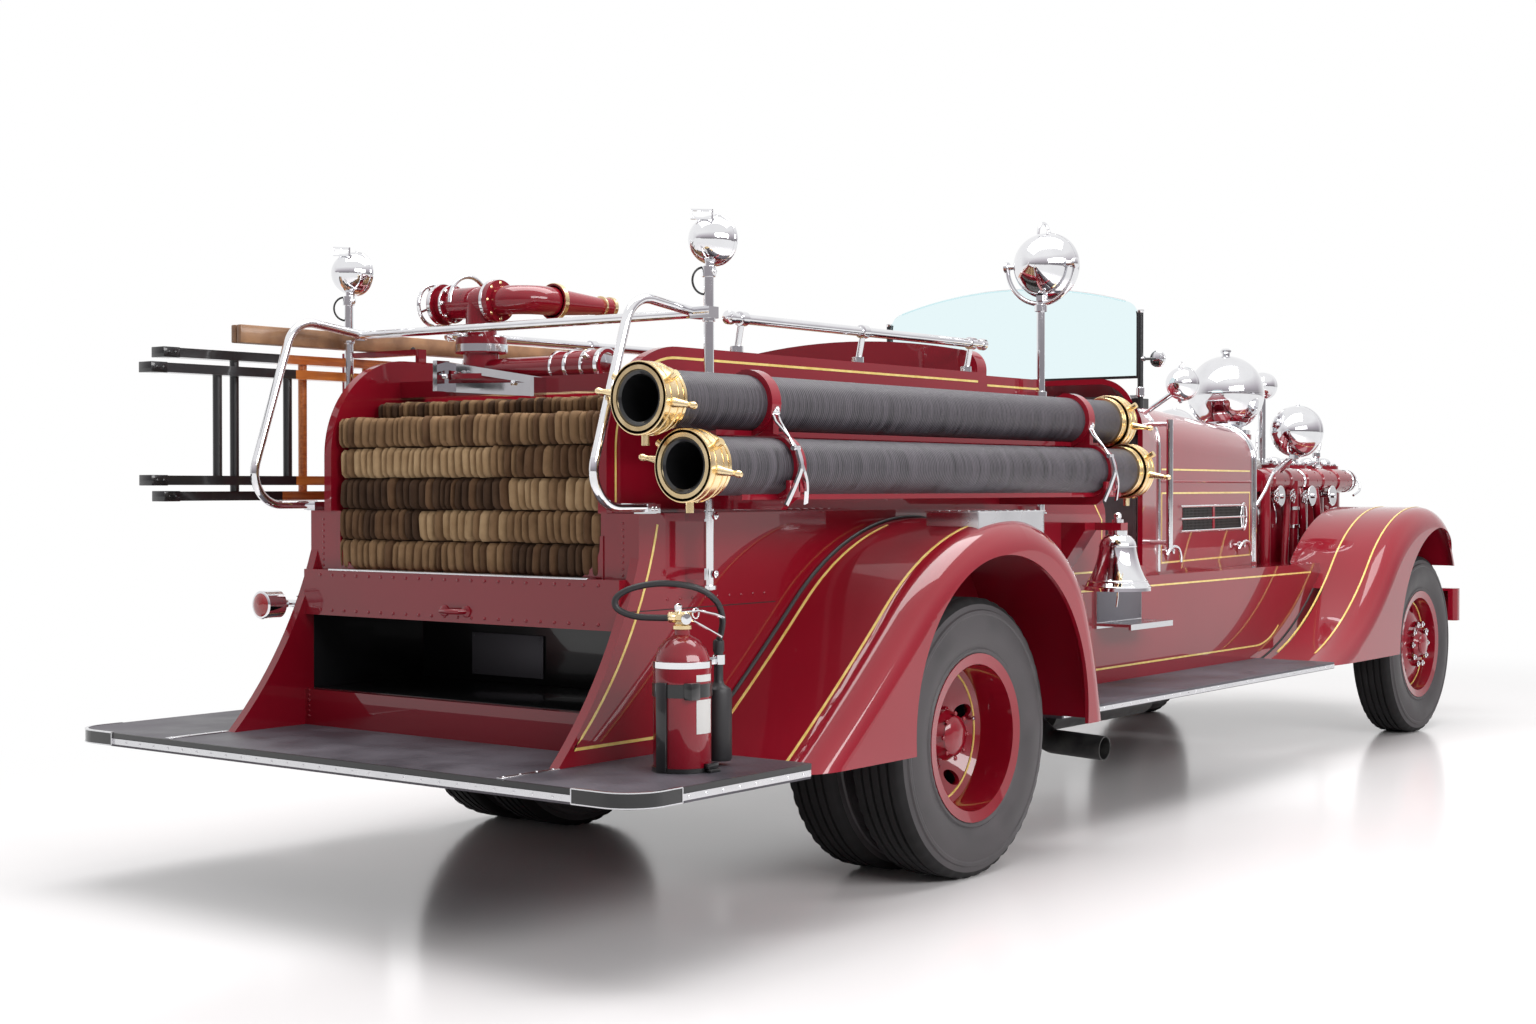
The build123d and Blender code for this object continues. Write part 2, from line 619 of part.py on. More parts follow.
def coupling(x0, x1, y, z):
    """Swivel coupling with its open mouth at x0."""
    way = 1 if x1 > x0 else -1
    body = rod((x0, y, z), (x0 + way * 66, y, z), 106) + rod((x0 + way * 66, y, z), (x1, y, z), 97)
    for i in range(3):
        a = radians(120 * i + 30)
        foot = (x0 + way * 33, y + 92 * cos(a), z + 92 * sin(a))
        body += rod(foot, (x0 + way * 33, y + 138 * cos(a), z + 138 * sin(a)), 12)
    return body - rod((x0 - way, y, z), (x1 + way, y, z), COUPLING_BORE)


def suction_couplings():
    made = []
    for h in SUCTION:
        made.append(coupling(h["rear"], h["rear"] + COUPLING_LONG, h["y"], h["z"]))
        made.append(coupling(h["front"], h["front"] - COUPLING_LONG, h["y"], h["z"]))
    return made


RACK_X = (-1030, 1000)


def suction_rack():
    upper, lower = SUCTION
    out = lower["y"] - 100
    edge = upper["y"] - 102
    plate = Polyline((-BED_HALF, 1282), (out + 70, 1282), (out, 1337), (out, lower["z"]), (edge, 1507),
                     (edge, upper["z"]), (-BED_HALF, upper["z"]), close=True)
    rack = None
    for x in RACK_X:
        one = cross_slab(plate, x - 14, x + 14)
        for h in SUCTION:
            one += rod((x - 24, h["y"], h["z"]), (x + 24, h["y"], h["z"]), SUCTION_R + 13)
        rack = one if rack is None else rack + one
    for h in SUCTION:
        rack += block(-1230, 1200, h["y"] - 26, h["y"] + 26, h["z"] - SUCTION_R - 13, h["z"] - SUCTION_R + 10)
    for h in SUCTION:
        rack -= rod((-1400, h["y"], h["z"]), (1400, h["y"], h["z"]), SUCTION_R + RUNNING)
    return rack


LADDERS = [{"y0": BED_HALF + 330, "y1": BED_HALF + 395, "z0": 1304, "z1": 1826,
            "rear": -1770, "front": 1640, "first": 314},
           {"y0": BED_HALF + 255, "y1": BED_HALF + 320, "z0": 1358, "z1": 1768,
            "rear": -1875, "front": 1500, "first": 288}]
RUNG_PITCH = 305.0
RAIL_DEPTH = 32.0


def ladders():
    made = []
    for d in LADDERS:
        low = d["z0"] + RAIL_DEPTH
        high = d["z1"] - RAIL_DEPTH
        pieces = [block(d["rear"], d["front"], d["y0"], d["y1"], d["z0"], low),
                  block(d["rear"], d["front"], d["y0"], d["y1"], high, d["z1"])]
        y = (d["y0"] + d["y1"]) / 2
        count = int((d["front"] - d["rear"] - d["first"] - 60) / RUNG_PITCH) + 1
        for i in range(count):
            x = d["rear"] + d["first"] + i * RUNG_PITCH
            pieces.append(rod((x, y, low), (x, y, high), 16))
        made.append(pieces)
    y = BED_HALF + 256
    folded = block(-1530, 420, y - 26, y - 4, 1850.3, 1912) + block(-1530, 420, y + 4, y + 26, 1850.3, 1912)
    for x in (-1400, -700, 0, 340):
        folded += block(x - 30, x + 30, y - 16, y + 16, 1860, 1900)
    made.append(folded)
    return made


def ladder_racks():
    base, fly = LADDERS
    made = []
    out = base["y1"] + 19
    for x in (-900, 640):
        arm = block(x - 18, x + 18, BED_HALF, out, 1274, base["z0"] - 0.3)
        arm += block(x - 18, x + 18, base["y1"] + 3, out, 1274, 1850)
        arm += block(x - 18, x + 18, BED_HALF, out, base["z1"] + 4, 1850)
        arm += block(x - 18, x + 18, BED_HALF, BED_HALF + 18, 1274, 1850)
        arm += block(x - 18, x + 18, fly["y0"], fly["y1"], 1274, fly["z0"] - 0.3)
        made.append(arm)
    return made


# Deck gun

def gun_base():
    beam = block(GUN_X - 60, GUN_X + 60, -BED_HALF, BED_HALF, 1668, 1724)
    base = rod((GUN_X, GUN_Y, 1724), (GUN_X, GUN_Y, 1742), 105)
    base += rod((GUN_X, GUN_Y, 1740), (GUN_X, GUN_Y, GUN_SWIVEL_Z), 62)
    base += rod((GUN_X, GUN_Y, GUN_SWIVEL_Z - 34), (GUN_X, GUN_Y, GUN_SWIVEL_Z), 90)
    pipe = (GUN_X, -90, GUN_INLET_Z)
    base += rod((GUN_X, GUN_Y, GUN_INLET_Z), pipe, 38) + rod(pipe, (GUN_X, -320, GUN_INLET_Z), 52)
    return base + beam - rod((GUN_X, -255, GUN_INLET_Z), (GUN_X, -330, GUN_INLET_Z), 40)


def gun_bracket():
    """Nozzle rest on the back of the cross beam."""
    back = GUN_X - 60
    shape = Polyline((386, 1790), (-96, 1718), (-96, 1654), (386, 1684), close=True)
    web = cross_slab(shape, back - 14, back)
    web -= cross_slab(Polyline((356, 1758), (-10, 1704), (356, 1712), close=True), back - 20, back + 1)
    web -= rod((GUN_X, GUN_Y, 1723), (GUN_X, GUN_Y, 1742.5), 105.5)
    web -= rod((GUN_X, GUN_Y, 1740), (GUN_X, GUN_Y, GUN_SWIVEL_Z), 62.5)
    return web + block(back - 60, back, 366, 386, 1684, 1790) + block(back - 60, back, -96, -80, 1654, 1718)


def gun_head():
    z = GUN_TRUNNION_Z
    low = GUN_SWIVEL_Z + 0.5
    head = rod((GUN_X, GUN_Y, low), (GUN_X, GUN_Y, low + 20), 88)
    head += rod((GUN_X, GUN_Y, low), (GUN_X, GUN_Y, z), 54)
    head += rod((GUN_X, 195, z), (GUN_X, 452, z), 54)
    for y, thick, r in ((195, 18, 72), (404, 14, 66), (450, 20, 72), (470, 12, 52)):
        head += rod((GUN_X, y, z), (GUN_X, y + thick, z), r)
    return head


def gun_barrel():
    z = GUN_TRUNNION_Z
    y = GUN_BORE_Y
    arm = rod((GUN_X, 194.5, z), (GUN_X, 176, z), 72)
    bend = tube([(GUN_X, 180, z), (GUN_X, y, z), (GUN_X + 145, y, z)], 50, 86)
    cone = Plane(origin=(GUN_X + 140, y, z), z_dir=(1, 0, 0)).location * Pos(0, 0, 120) * Cone(48, 30, 240)
    tip = rod((GUN_X + 376, y, z), (GUN_X + 440, y, z), 34)
    ring = rod((GUN_X + 130, y, z), (GUN_X + 152, y, z), 62)
    return arm + bend + cone + tip + ring


# Small gear

def extinguisher():
    x, y = -1480.0, -1050.0
    profile = [Polyline((0, 0), (84, 0), (89, 10), (89, 400)),
               ThreePointArc((89, 400), (66, 452), (24, 475)),
               Polyline((24, 475), (24, 500), (0, 500), (0, 0))]
    body = revolve(make_face(profile), Axis.Y)
    return Pos(x, y, STEP_TOP) * Rot(90, 0, 0) * body


def extinguisher_horn():
    x, y = -1480.0, -1050.0
    z = STEP_TOP + 500
    valve = rod((x, y, z), (x, y, z + 46), 20) + block(x - 60, x + 24, y - 9, y + 9, z + 34, z + 58)
    bends = [(x, y, z + 22), (x + 80, y, z + 22), (x + 150, y - 15, z + 22), (x + 150, y - 15, z - 270)]
    hose = tube(bends, 11, 34)
    horn = rod((x + 150, y - 15, z - 240), (x + 150, y - 15, z - 470), 35)
    clip = block(x + 80, x + 150, y - 24, y - 6, z - 380, z - 350)
    clip -= rod((x, y, STEP_TOP), (x, y, STEP_TOP + 460), 89.3)
    return valve + hose + horn + clip


def bell():
    x, y, mouth = 1610.0, -BED_HALF - 200.0, 920.0
    outer = [Polyline((0, 0), (140, 0), (138, 16)), ThreePointArc((138, 16), (98, 90), (76, 190)),
             ThreePointArc((76, 190), (52, 226), (0, 232)), Line((0, 232), (0, 0))]
    inner = [Polyline((0, -4), (131, -4), (129, 14)), ThreePointArc((129, 14), (89, 90), (67, 186)),
             ThreePointArc((67, 186), (46, 214), (0, 220)), Line((0, 220), (0, -4))]
    cup = revolve(make_face(outer), Axis.Y) - revolve(make_face(inner), Axis.Y)
    made = Pos(x, y, mouth) * Rot(90, 0, 0) * cup
    made += rod((x, y, mouth + 70), (x, y, mouth + 226), 9) + Pos(x, y, mouth + 62) * Sphere(24)
    made += rod((x, y, mouth + 226), (x, y, mouth + 250), 40)
    made += rod((x, y, mouth + 226), (x, y, mouth + 304), 13)
    return made + rod((x, y, mouth + 282.3), (x, y, mouth + 296), 24) + Pos(x, y, mouth + 310) * Sphere(16)


def bell_bracket():
    x, y, mouth = 1610.0, -BED_HALF - 200.0, 920.0
    arm = block(x - 30, x + 30, y - 30, -BED_HALF, mouth + 250.3, mouth + 282)
    reach = -BED_HALF - 110
    gusset = Polyline((-BED_HALF, 1170.3), (reach, 1170.3), (-BED_HALF, 1010), close=True)
    arm += cross_slab(gusset, x - 120, x - 20) + block(x - 120, x + 30, reach, -BED_HALF, 1170.3, 1202)
    return arm - rod((x, y, mouth + 200), (x, y, mouth + 320), 13.3)


def cab_steps():
    """Entry step and scuff plate on each apron."""
    step = block(1800, 2200, 640, 815, 752, 764) + block(1800, 2220, 640, 652, 740, SHELF_TOP - 0.3)
    step += block(1800, 2200, 803, 815, 740, 764)
    return left_right(step)


def exhaust():
    y = -540.0
    pipe = rod((1500, y, 400), (2400, y, 400), 85)
    pipe += tube([(1510, y, 400), (1380, y, 400), (1380, y - 120, 300), (1380, -912, 288)], 50, 60)
    pipe += tube([(2390, y, 400), (2620, y, 400), (2900, -200, 560), (2900, -200, 700)], 40, 60)
    for x in (1700, 2200):
        pipe += block(x - 15, x + 15, y - 12, y + 12, 400, 690)
        pipe += block(x - 15, x + 15, y - 12, -RAIL_OUT, 664, 690)
    mouth = rod((1380, -1000, 288), (1380, -800, 288), 45)
    return pipe - mouth


# Front pump

def pump_body():
    pump = block(4060, FRAME_FRONT - 18, -RAIL_OUT, RAIL_OUT, RAIL_TOP, RAIL_TOP + 30)
    pump += block(WHEELBASE - 779, FRAME_FRONT - 18, -RAIL_OUT - 9, RAIL_OUT + 9, RAIL_TOP, RAIL_TOP + 30)
    deck = RAIL_TOP + 30
    pump += block(4120, 4740, -240, 240, deck, 1180)
    pump += rod((4120, 0, 1180), (4740, 0, 1180), 240)
    pump += rod((4530, 0, 1300), (4530, 0, 1640), 105) + rod((4530, 0, 1612), (4530, 0, 1640), 140)
    for x in (4900, 5140, 5380, 5620):
        for y in (-125, 125):
            pump += rod((x, y, deck), (x, y, 1320), 96)
            pump += rod((x, y, 1440), (x, y, 1474), 88) + rod((x, y, 1474), (x, y, 1500), 40)
    pump += block(4700, 5655, -215, 215, 1310, 1440)
    for side in (-1, 1):
        y = side * 240.0
        pump += rod((4380, y, 1385), (5660, y, 1385), 62)
        for x in (4400, 4780):
            pump += rod((x, side * 292, deck), (x, side * 292, 1385), 27)
        pump += rod((4560, side * 330, deck), (4720, side * 282, 1330), 20)
        pump += rod((5250, side * 120, 1000), (5250, side * 330, 1000), 90)
    return pump


def pump_fittings(pump):
    made = []
    for side in (-1, 1):
        y = side * 240.0
        cap = rod((5660, y, 1385), (5715, y, 1385), 52) + rod((5672, y, 1385), (5694, y, 1385), 66)
        cap += rod((5715, y, 1385), (5745, y, 1385), 20)
        made.append(cap - pump)
        made.append(rod((5250, side * 330, 1000), (5250, side * 372, 1000), 104))
        for x in (4560, 5000, 5300):
            wheel = rod((x, side * 300, 1300), (x, side * 316, 1300), 52)
            wheel += rod((x, side * 240, 1300), (x, side * 310, 1300), 11)
            wheel += rod((x, side * 245, 1300), (x, side * 245, 1360), 13)
            made.append(wheel - pump)
    return made


def air_dome():
    x = 4530.0
    dome = Pos(x, 0, 1868) * Sphere(210)
    dome += rod((x, 0, 1640), (x, 0, 1664), 136) + rod((x, 0, 1660), (x, 0, 1720), 92)
    dome += rod((x, 0, 2070), (x, 0, 2100), 22)
    return dome


def headlamps(pump):
    made = []
    for side in (-1, 1):
        y = side * 370.0
        one = lamp((4640, y, 1655), 140, 165, (1, 0, 0))
        one += rod((4600, y, 1660), (4600, y, 1510), 17) + rod((4600, y, 1515), (4600, side * 240, 1400), 17)
        made.append(one - pump)
    return made


def siren():
    one = lamp((5040, 0, 1930), 78, 120, (1, 0, 0))
    return one + rod((5020, 0, 1440), (5020, 0, 1900), 22) + rod((5020, 0, 1440), (5020, 0, 1456), 60)


def collect():
    pump = pump_body()
    walls = hose_body()
    shell = cowl()
    nodes = {
        "frame_rails": frame_rails(), "front_bumper": front_bumper(), "front_axle": front_axle(),
        "leaf_springs": leaf_springs(), "rear_axle": rear_axle(), "engine": engine(),
        "rear_fenders": left_right(rear_fender()), "front_fenders": left_right(front_fender()),
        "lower_body": lower_body(), "hose_body": walls, "hose_load": hose_load(),
        "rear_step": rear_step(), "running_boards": running_boards(), "aprons": aprons(),
        "cowl": shell, "radiator": radiator(), "windshield_glass": windshield_glass(),
        "windshield_frame": windshield_frame() - shell, "cab_body": cab_body(), "seat": seat(),
        "steering_wheel": steering_wheel(), "grab_rails": grab_rails(shell), "side_rails": side_rails(),
        "spot_lamps": spot_lamps(shell), "searchlight": searchlight(), "suction_hoses": suction_hoses(),
        "suction_couplings": suction_couplings(), "suction_rack": suction_rack(),
        "ladder_racks": ladder_racks(), "gun_base": gun_base() - walls,
        "gun_bracket": gun_bracket(), "gun_head": gun_head(),
        "gun_barrel": gun_barrel(), "extinguisher": extinguisher(), "extinguisher_horn": extinguisher_horn(),
        "bell": bell(), "bell_bracket": bell_bracket(), "cab_steps": cab_steps(), "exhaust": exhaust(),
        "pump_body": pump, "pump_fittings": pump_fittings(pump),
        "air_dome": air_dome(), "headlamps": headlamps(pump), "siren": siren(),
    }
    nodes["ladder_base"], nodes["ladder_fly"], nodes["ladder_folded"] = ladders()
    left = {"hood": hood_side(), "knuckle": knuckle()}
    wheel = Pos(WHEELBASE, FRONT_TYRE_Y, AXLE_Z)
    left["front_wheel"] = wheel * front_wheel()
    left["front_tyre"] = wheel * tyre_ring(0)
    pair = Pos(0, DUAL_Y, AXLE_Z)
    left["rear_wheel"] = pair * rear_wheel()
    left["rear_tyres"] = [pair * tyre_ring(DUAL_SPACING / 2), pair * tyre_ring(-DUAL_SPACING / 2)]
    for name, shape in left.items():
        nodes[name + "_left"] = shape
        nodes[name + "_right"] = [mirror(s, Plane.XZ) for s in solids_of(shape)]
    return nodes


os.makedirs("parts", exist_ok=True)
for node, shape in collect().items():
    placed = [Pos(-MID_X, 0, 0) * s for s in solids_of(shape)]
    export_step(placed[0] if len(placed) == 1 else Compound(children=placed), "parts/" + node + ".step")
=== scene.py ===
import json
import math
import random

import bmesh
import bpy
from mathutils import Matrix, Vector


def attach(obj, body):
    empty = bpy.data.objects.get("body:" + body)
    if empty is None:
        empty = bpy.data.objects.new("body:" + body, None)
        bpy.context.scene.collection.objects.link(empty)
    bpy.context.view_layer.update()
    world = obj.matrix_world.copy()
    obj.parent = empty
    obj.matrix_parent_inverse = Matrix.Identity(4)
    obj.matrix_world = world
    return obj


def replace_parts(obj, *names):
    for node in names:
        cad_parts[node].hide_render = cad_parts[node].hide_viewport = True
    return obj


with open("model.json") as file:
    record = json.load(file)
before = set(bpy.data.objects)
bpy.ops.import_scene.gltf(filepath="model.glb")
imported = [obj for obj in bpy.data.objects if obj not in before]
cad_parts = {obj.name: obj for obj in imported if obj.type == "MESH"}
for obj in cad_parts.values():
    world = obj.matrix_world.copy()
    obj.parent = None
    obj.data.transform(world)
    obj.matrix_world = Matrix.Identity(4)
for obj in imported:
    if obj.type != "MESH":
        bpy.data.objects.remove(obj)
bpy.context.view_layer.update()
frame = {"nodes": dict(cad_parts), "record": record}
nodes = frame["nodes"]

# Places are in millimetres: x ahead of the rear axle, y to the left of the middle, z above the ground

MID_X = 2.012          # metres from the rear axle to the frame's origin
SIDES = (("left", 1), ("right", -1))
UP, AHEAD, BACK = (0, 0, 1), (1, 0, 0), (-1, 0, 0)
AXLE_Z = 485
APRON_Y, BED_Y, PILLAR_Y = 640, 650, 755
SHELF_TOP = 950
TIP = 0.01             # radius of a turned profile that closes on its axis


def P(x, y, z):
    """A place in millimetres as a point of the frame in metres."""
    return Vector((x / 1000.0 - MID_X, y / 1000.0, z / 1000.0))


# Materials

def feed(tree, socket, value):
    """Gives a socket a plain value, or a link from another node's output."""
    if isinstance(value, bpy.types.NodeSocket):
        tree.links.new(value, socket)
    else:
        socket.default_value = value


def node(tree, kind, sockets=None, **settings):
    """A new shader node with its settings made and its sockets fed."""
    made = tree.nodes.new("ShaderNode" + kind)
    for name, value in settings.items():
        setattr(made, name, value)
    for key, value in (sockets or {}).items():
        feed(tree, made.inputs[key], value)
    return made


def drive(mat, socket, value):
    feed(mat.node_tree, mat.node_tree.nodes["Principled BSDF"].inputs[socket], value)


def object_place(tree):
    return node(tree, "TexCoord").outputs["Object"]


def noise(mat, scale, detail=4.0, stretch=(1.0, 1.0, 1.0)):
    """Noise over the piece, finer along an axis by its stretch."""
    tree = mat.node_tree
    place = node(tree, "Mapping", {"Vector": object_place(tree), "Scale": stretch})
    made = node(tree, "TexNoise", {"Vector": place.outputs["Vector"], "Scale": scale, "Detail": detail})
    return made.outputs["Fac"]


def ramp(tree, fac, stops):
    """Colour that a factor picks from (place, colour) stops."""
    made = node(tree, "ValToRGB", {"Fac": fac})
    elements = made.color_ramp.elements
    while len(elements) < len(stops):
        elements.new(0.5)
    for element, (place, colour) in zip(elements, stops):
        element.position = place
        element.color = (*colour, 1.0)
    return made.outputs["Color"]


def mottle(mat, dark, light, scale, rough=None, stretch=(1.0, 1.0, 1.0)):
    """Colour that wanders between two tones, with roughness following it."""
    wander = noise(mat, scale, 5.0, stretch)
    drive(mat, "Base Color", ramp(mat.node_tree, wander, [(0.3, dark), (0.7, light)]))
    if rough:
        low, high = rough
        drive(mat, "Roughness", ramp(mat.node_tree, wander, [(0.3, (low,) * 3), (0.7, (high,) * 3)]))


def bump(mat, height, strength, distance=0.002):
    made = node(mat.node_tree, "Bump", {"Height": height, "Strength": strength, "Distance": distance})
    drive(mat, "Normal", made.outputs["Normal"])


def ribs(mat, axis, pitch, strength, distance):
    """Fine ribs across one axis of the piece, a pitch in metres apart."""
    tree = mat.node_tree
    wave = node(tree, "TexWave", {"Vector": object_place(tree), "Scale": 0.314 / pitch},
                wave_type="BANDS", bands_direction=axis)
    bump(mat, wave.outputs["Fac"], strength, distance)


def surface(name, base, rough, metal=0.0, coat=0.0, coat_rough=0.03, spec=0.5,
            tones=None, grain=None, ribbed=None):
    """Material with mottled tones and a bump of grain (scale, strength, distance) or of ribs."""
    mat = bpy.data.materials.new(name)
    mat.use_nodes = True
    values = {"Base Color": (*base, 1.0), "Roughness": rough, "Metallic": metal, "Coat Weight": coat,
              "Coat Roughness": coat_rough, "Specular IOR Level": spec}
    for socket, value in values.items():
        drive(mat, socket, value)
    if tones:
        mottle(mat, *tones)
    if grain:
        scale, *lift = grain
        bump(mat, noise(mat, scale), *lift)
    if ribbed:
        ribs(mat, *ribbed)
    return mat


RED = surface("red_paint", (0.22, 0.003, 0.012), 0.32, 0.0, 1.0, 0.012, 0.1, grain=(6.0, 0.02, 0.01),
    tones=((0.205, 0.0028, 0.011), (0.240, 0.0040, 0.015), 1.5))
BLACK = surface("black_enamel", (0.010, 0.010, 0.011), 0.3, 0.0, 0.7, 0.05, 0.3, grain=(30.0, 0.03))
CHROME = surface("chrome", (0.80, 0.80, 0.82), 0.06, 1.0,
    tones=((0.76, 0.76, 0.78), (0.84, 0.84, 0.86), 9.0, (0.03, 0.10)))
BRASS = surface("brass", (0.88, 0.68, 0.38), 0.2, 1.0,
    tones=((0.82, 0.61, 0.32), (0.92, 0.75, 0.47), 14.0, (0.14, 0.30)))
RUBBER = surface("tyre_rubber", (0.045, 0.040, 0.043), 0.6, grain=(220.0, 0.12),
    tones=((0.032, 0.029, 0.031), (0.062, 0.055, 0.059), 6.0, (0.42, 0.66)))
# Tread rubber painted far darker than the sidewall rubber: painted shade on the tread
SHADED_TREAD = surface("tread_rubber_shaded", (0.010, 0.0095, 0.010), 0.75, spec=0.25, grain=(150.0, 0.2),
    tones=((0.006, 0.0057, 0.006), (0.016, 0.015, 0.016), 9.0, (0.62, 0.85)))
HOSE_RUBBER = surface("hose_rubber", (0.05, 0.043, 0.052), 0.5, ribbed=("X", 0.010, 0.6, 0.0015),
    tones=((0.014, 0.012, 0.016), (0.072, 0.062, 0.075), 16.0, (0.34, 0.62), (6.0, 0.3, 0.3)))
MAT = surface("ribbed_mat", (0.05, 0.045, 0.055), 0.5, ribbed=("Y", 0.016, 0.5, 0.0015),
    tones=((0.040, 0.037, 0.047), (0.085, 0.075, 0.092), 5.0, (0.38, 0.6)))
IRON = surface("cast_iron", (0.06, 0.06, 0.065), 0.6, grain=(60.0, 0.2),
    tones=((0.045, 0.045, 0.05), (0.08, 0.08, 0.085), 20.0))
STEEL = surface("dark_steel", (0.04, 0.04, 0.042), 0.45, 0.7,
    tones=((0.025, 0.025, 0.026), (0.07, 0.068, 0.066), 12.0, (0.35, 0.6)))
ALUMINIUM = surface("aluminium", (0.68, 0.68, 0.70), 0.25, 1.0,
    tones=((0.65, 0.65, 0.67), (0.72, 0.72, 0.74), 7.0, (0.18, 0.30)))
GLASS = surface("glass", (0.80, 0.93, 0.95), 0.02, grain=(2.0, 0.01))
drive(GLASS, "Transmission Weight", 1.0)
drive(GLASS, "IOR", 1.05)
LENS = surface("lens_glass", (0.86, 0.88, 0.88), 0.08, 0.0, 1.0, 0.02, ribbed=("Y", 0.022, 0.5, 0.004))
RUBY = surface("ruby_glass", (0.35, 0.01, 0.012), 0.1, 0.0, 1.0, 0.02, grain=(40.0, 0.2))
LEATHER = surface("leather", (0.02, 0.017, 0.015), 0.4, grain=(90.0, 0.25),
    tones=((0.014, 0.012, 0.011), (0.034, 0.029, 0.025), 10.0, (0.3, 0.5)))
GOLD = surface("gold_stripe", (0.78, 0.58, 0.16), 0.4, 0.0, 0.6,
    tones=((0.72, 0.50, 0.11), (0.86, 0.68, 0.24), 30.0))
CANVASES = [surface("canvas_" + tone, light, 0.9, spec=0.2, tones=(dark, light, 16.0), grain=(500.0, 0.35))
            for tone, dark, light in (("sand", (0.30, 0.19, 0.10), (0.44, 0.30, 0.17)),
                                      ("tan", (0.18, 0.105, 0.054), (0.27, 0.165, 0.088)),
                                      ("brown", (0.090, 0.047, 0.024), (0.145, 0.080, 0.043)),
                                      ("umber", (0.042, 0.022, 0.013), (0.078, 0.043, 0.025)))]
WOOD = surface("varnished_wood", (0.45, 0.14, 0.03), 0.3, 0.0, 0.7, 0.08)
WEATHERED = surface("old_wood", (0.30, 0.15, 0.07), 0.5, 0.0, 0.3, 0.1,
    tones=((0.17, 0.08, 0.04), (0.36, 0.19, 0.09), 12.0))
HORN = surface("horn_plastic", (0.014, 0.013, 0.015), 0.45, grain=(90.0, 0.08))
GRILLE = surface("vent_mesh", (0.016, 0.017, 0.016), 0.5, 0.3, grain=(300.0, 0.3))
PLATE = surface("blank_plate", (0.10, 0.095, 0.11), 0.5, 0.2, grain=(120.0, 0.05))
LABEL = surface("blank_label", (0.55, 0.54, 0.53), 0.5, grain=(80.0, 0.04))
WELT = surface("black_welt", (0.012, 0.012, 0.012), 0.55, grain=(200.0, 0.2))
LINER = surface("grey_liner", (0.22, 0.22, 0.23), 0.4, 0.6,
    tones=((0.17, 0.17, 0.18), (0.27, 0.27, 0.28), 8.0))


def ladder_paint():
    """Black enamel over the rear ends, clear orange varnish with grain ahead of them."""
    enamel_end = -1.27 - MID_X
    tree = WOOD.node_tree
    varnish = ramp(tree, noise(WOOD, 2.0, 2.0, (3.0, 60.0, 60.0)),
                   [(0.3, (0.40, 0.105, 0.018)), (0.7, (0.62, 0.20, 0.04))])
    split = node(tree, "SeparateXYZ", {"Vector": object_place(tree)})
    ahead = node(tree, "Math", {0: split.outputs["X"], 1: enamel_end}, operation="GREATER_THAN")
    mix = node(tree, "Mix", {"Factor": ahead.outputs["Value"], "A": (0.010, 0.010, 0.011, 1.0), "B": varnish},
               data_type="RGBA")
    drive(WOOD, "Base Color", mix.outputs["Result"])


ladder_paint()

LOOK = {"red_paint": RED, "black_paint": BLACK, "chrome": CHROME, "brass": BRASS, "rubber": RUBBER,
        "mat_rubber": MAT, "cast_iron": IRON, "glass": GLASS, "leather": LEATHER, "canvas": CANVASES[1],
        "wood": WOOD, "dark_steel": STEEL, "aluminium": ALUMINIUM}
for row in frame["record"]["subparts"]:
    mats = nodes[row["node"]].data.materials
    mats.clear()
    mats.append(LOOK[row["material_slot"]])
nodes["suction_hoses"].data.materials[0] = HOSE_RUBBER


# Mesh building

class Shape:
    """Faces of one piece as they are collected."""

    def __init__(self):
        self.points = []
        self.faces = []
        self.tones = []

    def add(self, points, faces, tone=0):
        base = len(self.points)
        self.points.extend(Vector(p) for p in points)
        self.faces.extend([base + i for i in face] for face in faces)
        self.tones.extend([tone] * len(faces))

    def place(self, name, mats, slot_name, body="chassis", crease=38.0):
        mesh = bpy.data.meshes.new(name)
        mesh.from_pydata([P(*p) for p in self.points], [], self.faces)
        for mat in mats if isinstance(mats, list) else [mats]:
            mesh.materials.append(mat)
        for face, tone in zip(mesh.polygons, self.tones):
            face.material_index = tone
            face.use_smooth = True
        bm = bmesh.new()
        bm.from_mesh(mesh)
        bmesh.ops.recalc_face_normals(bm, faces=bm.faces)
        bm.to_mesh(mesh)
        bm.free()
        mesh.set_sharp_from_angle(angle=math.radians(crease))
        piece = bpy.data.objects.new(name, mesh)
        bpy.context.collection.objects.link(piece)
        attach(piece, body)
        return piece


def angles(count):
    return [2 * math.pi * i / count for i in range(count)]


def quads(rows, cols, around=False, closed=False):
    """Faces between rows of points, joined around each row and from last row to first where asked."""
    made = []
    for j in range(rows if closed else rows - 1):
        a, b = j * cols, (j + 1) % rows * cols
        for i in range(cols if around else cols - 1):
            n = (i + 1) % cols
            made.append((a + i, a + n, b + n, b + i))
    return made


def backed(points, rows, cols, back):
    """Faces of a grid of points, with walls from its rim to a flat back; adds back(point) for the rim."""
    faces = quads(rows, cols)
    last = rows - 1
    rim = [j * cols for j in range(rows)] + [last * cols + i for i in range(1, cols)]
    rim += [j * cols + cols - 1 for j in range(last - 1, -1, -1)] + list(range(cols - 2, 0, -1))
    base, count = len(points), len(rim)
    points += [back(points[k]) for k in rim]
    for k in range(count):
        n = (k + 1) % count
        faces.append((rim[k], rim[n], base + n, base + k))
    return faces + [tuple(range(base, base + count))]


def frame_of(direction):
    """A unit direction and two unit vectors square to it."""
    d = Vector(direction).normalized()
    side = Vector(UP) if abs(d.z) < 0.9 else Vector(AHEAD)
    a = d.cross(side).normalized()
    return d, a, d.cross(a).normalized()


def tangents(path):
    """Unit directions along a path of vectors, each from the point's neighbours."""
    last = len(path) - 1
    return [(path[min(i + 1, last)] - path[max(i - 1, 0)]).normalized() for i in range(last + 1)]


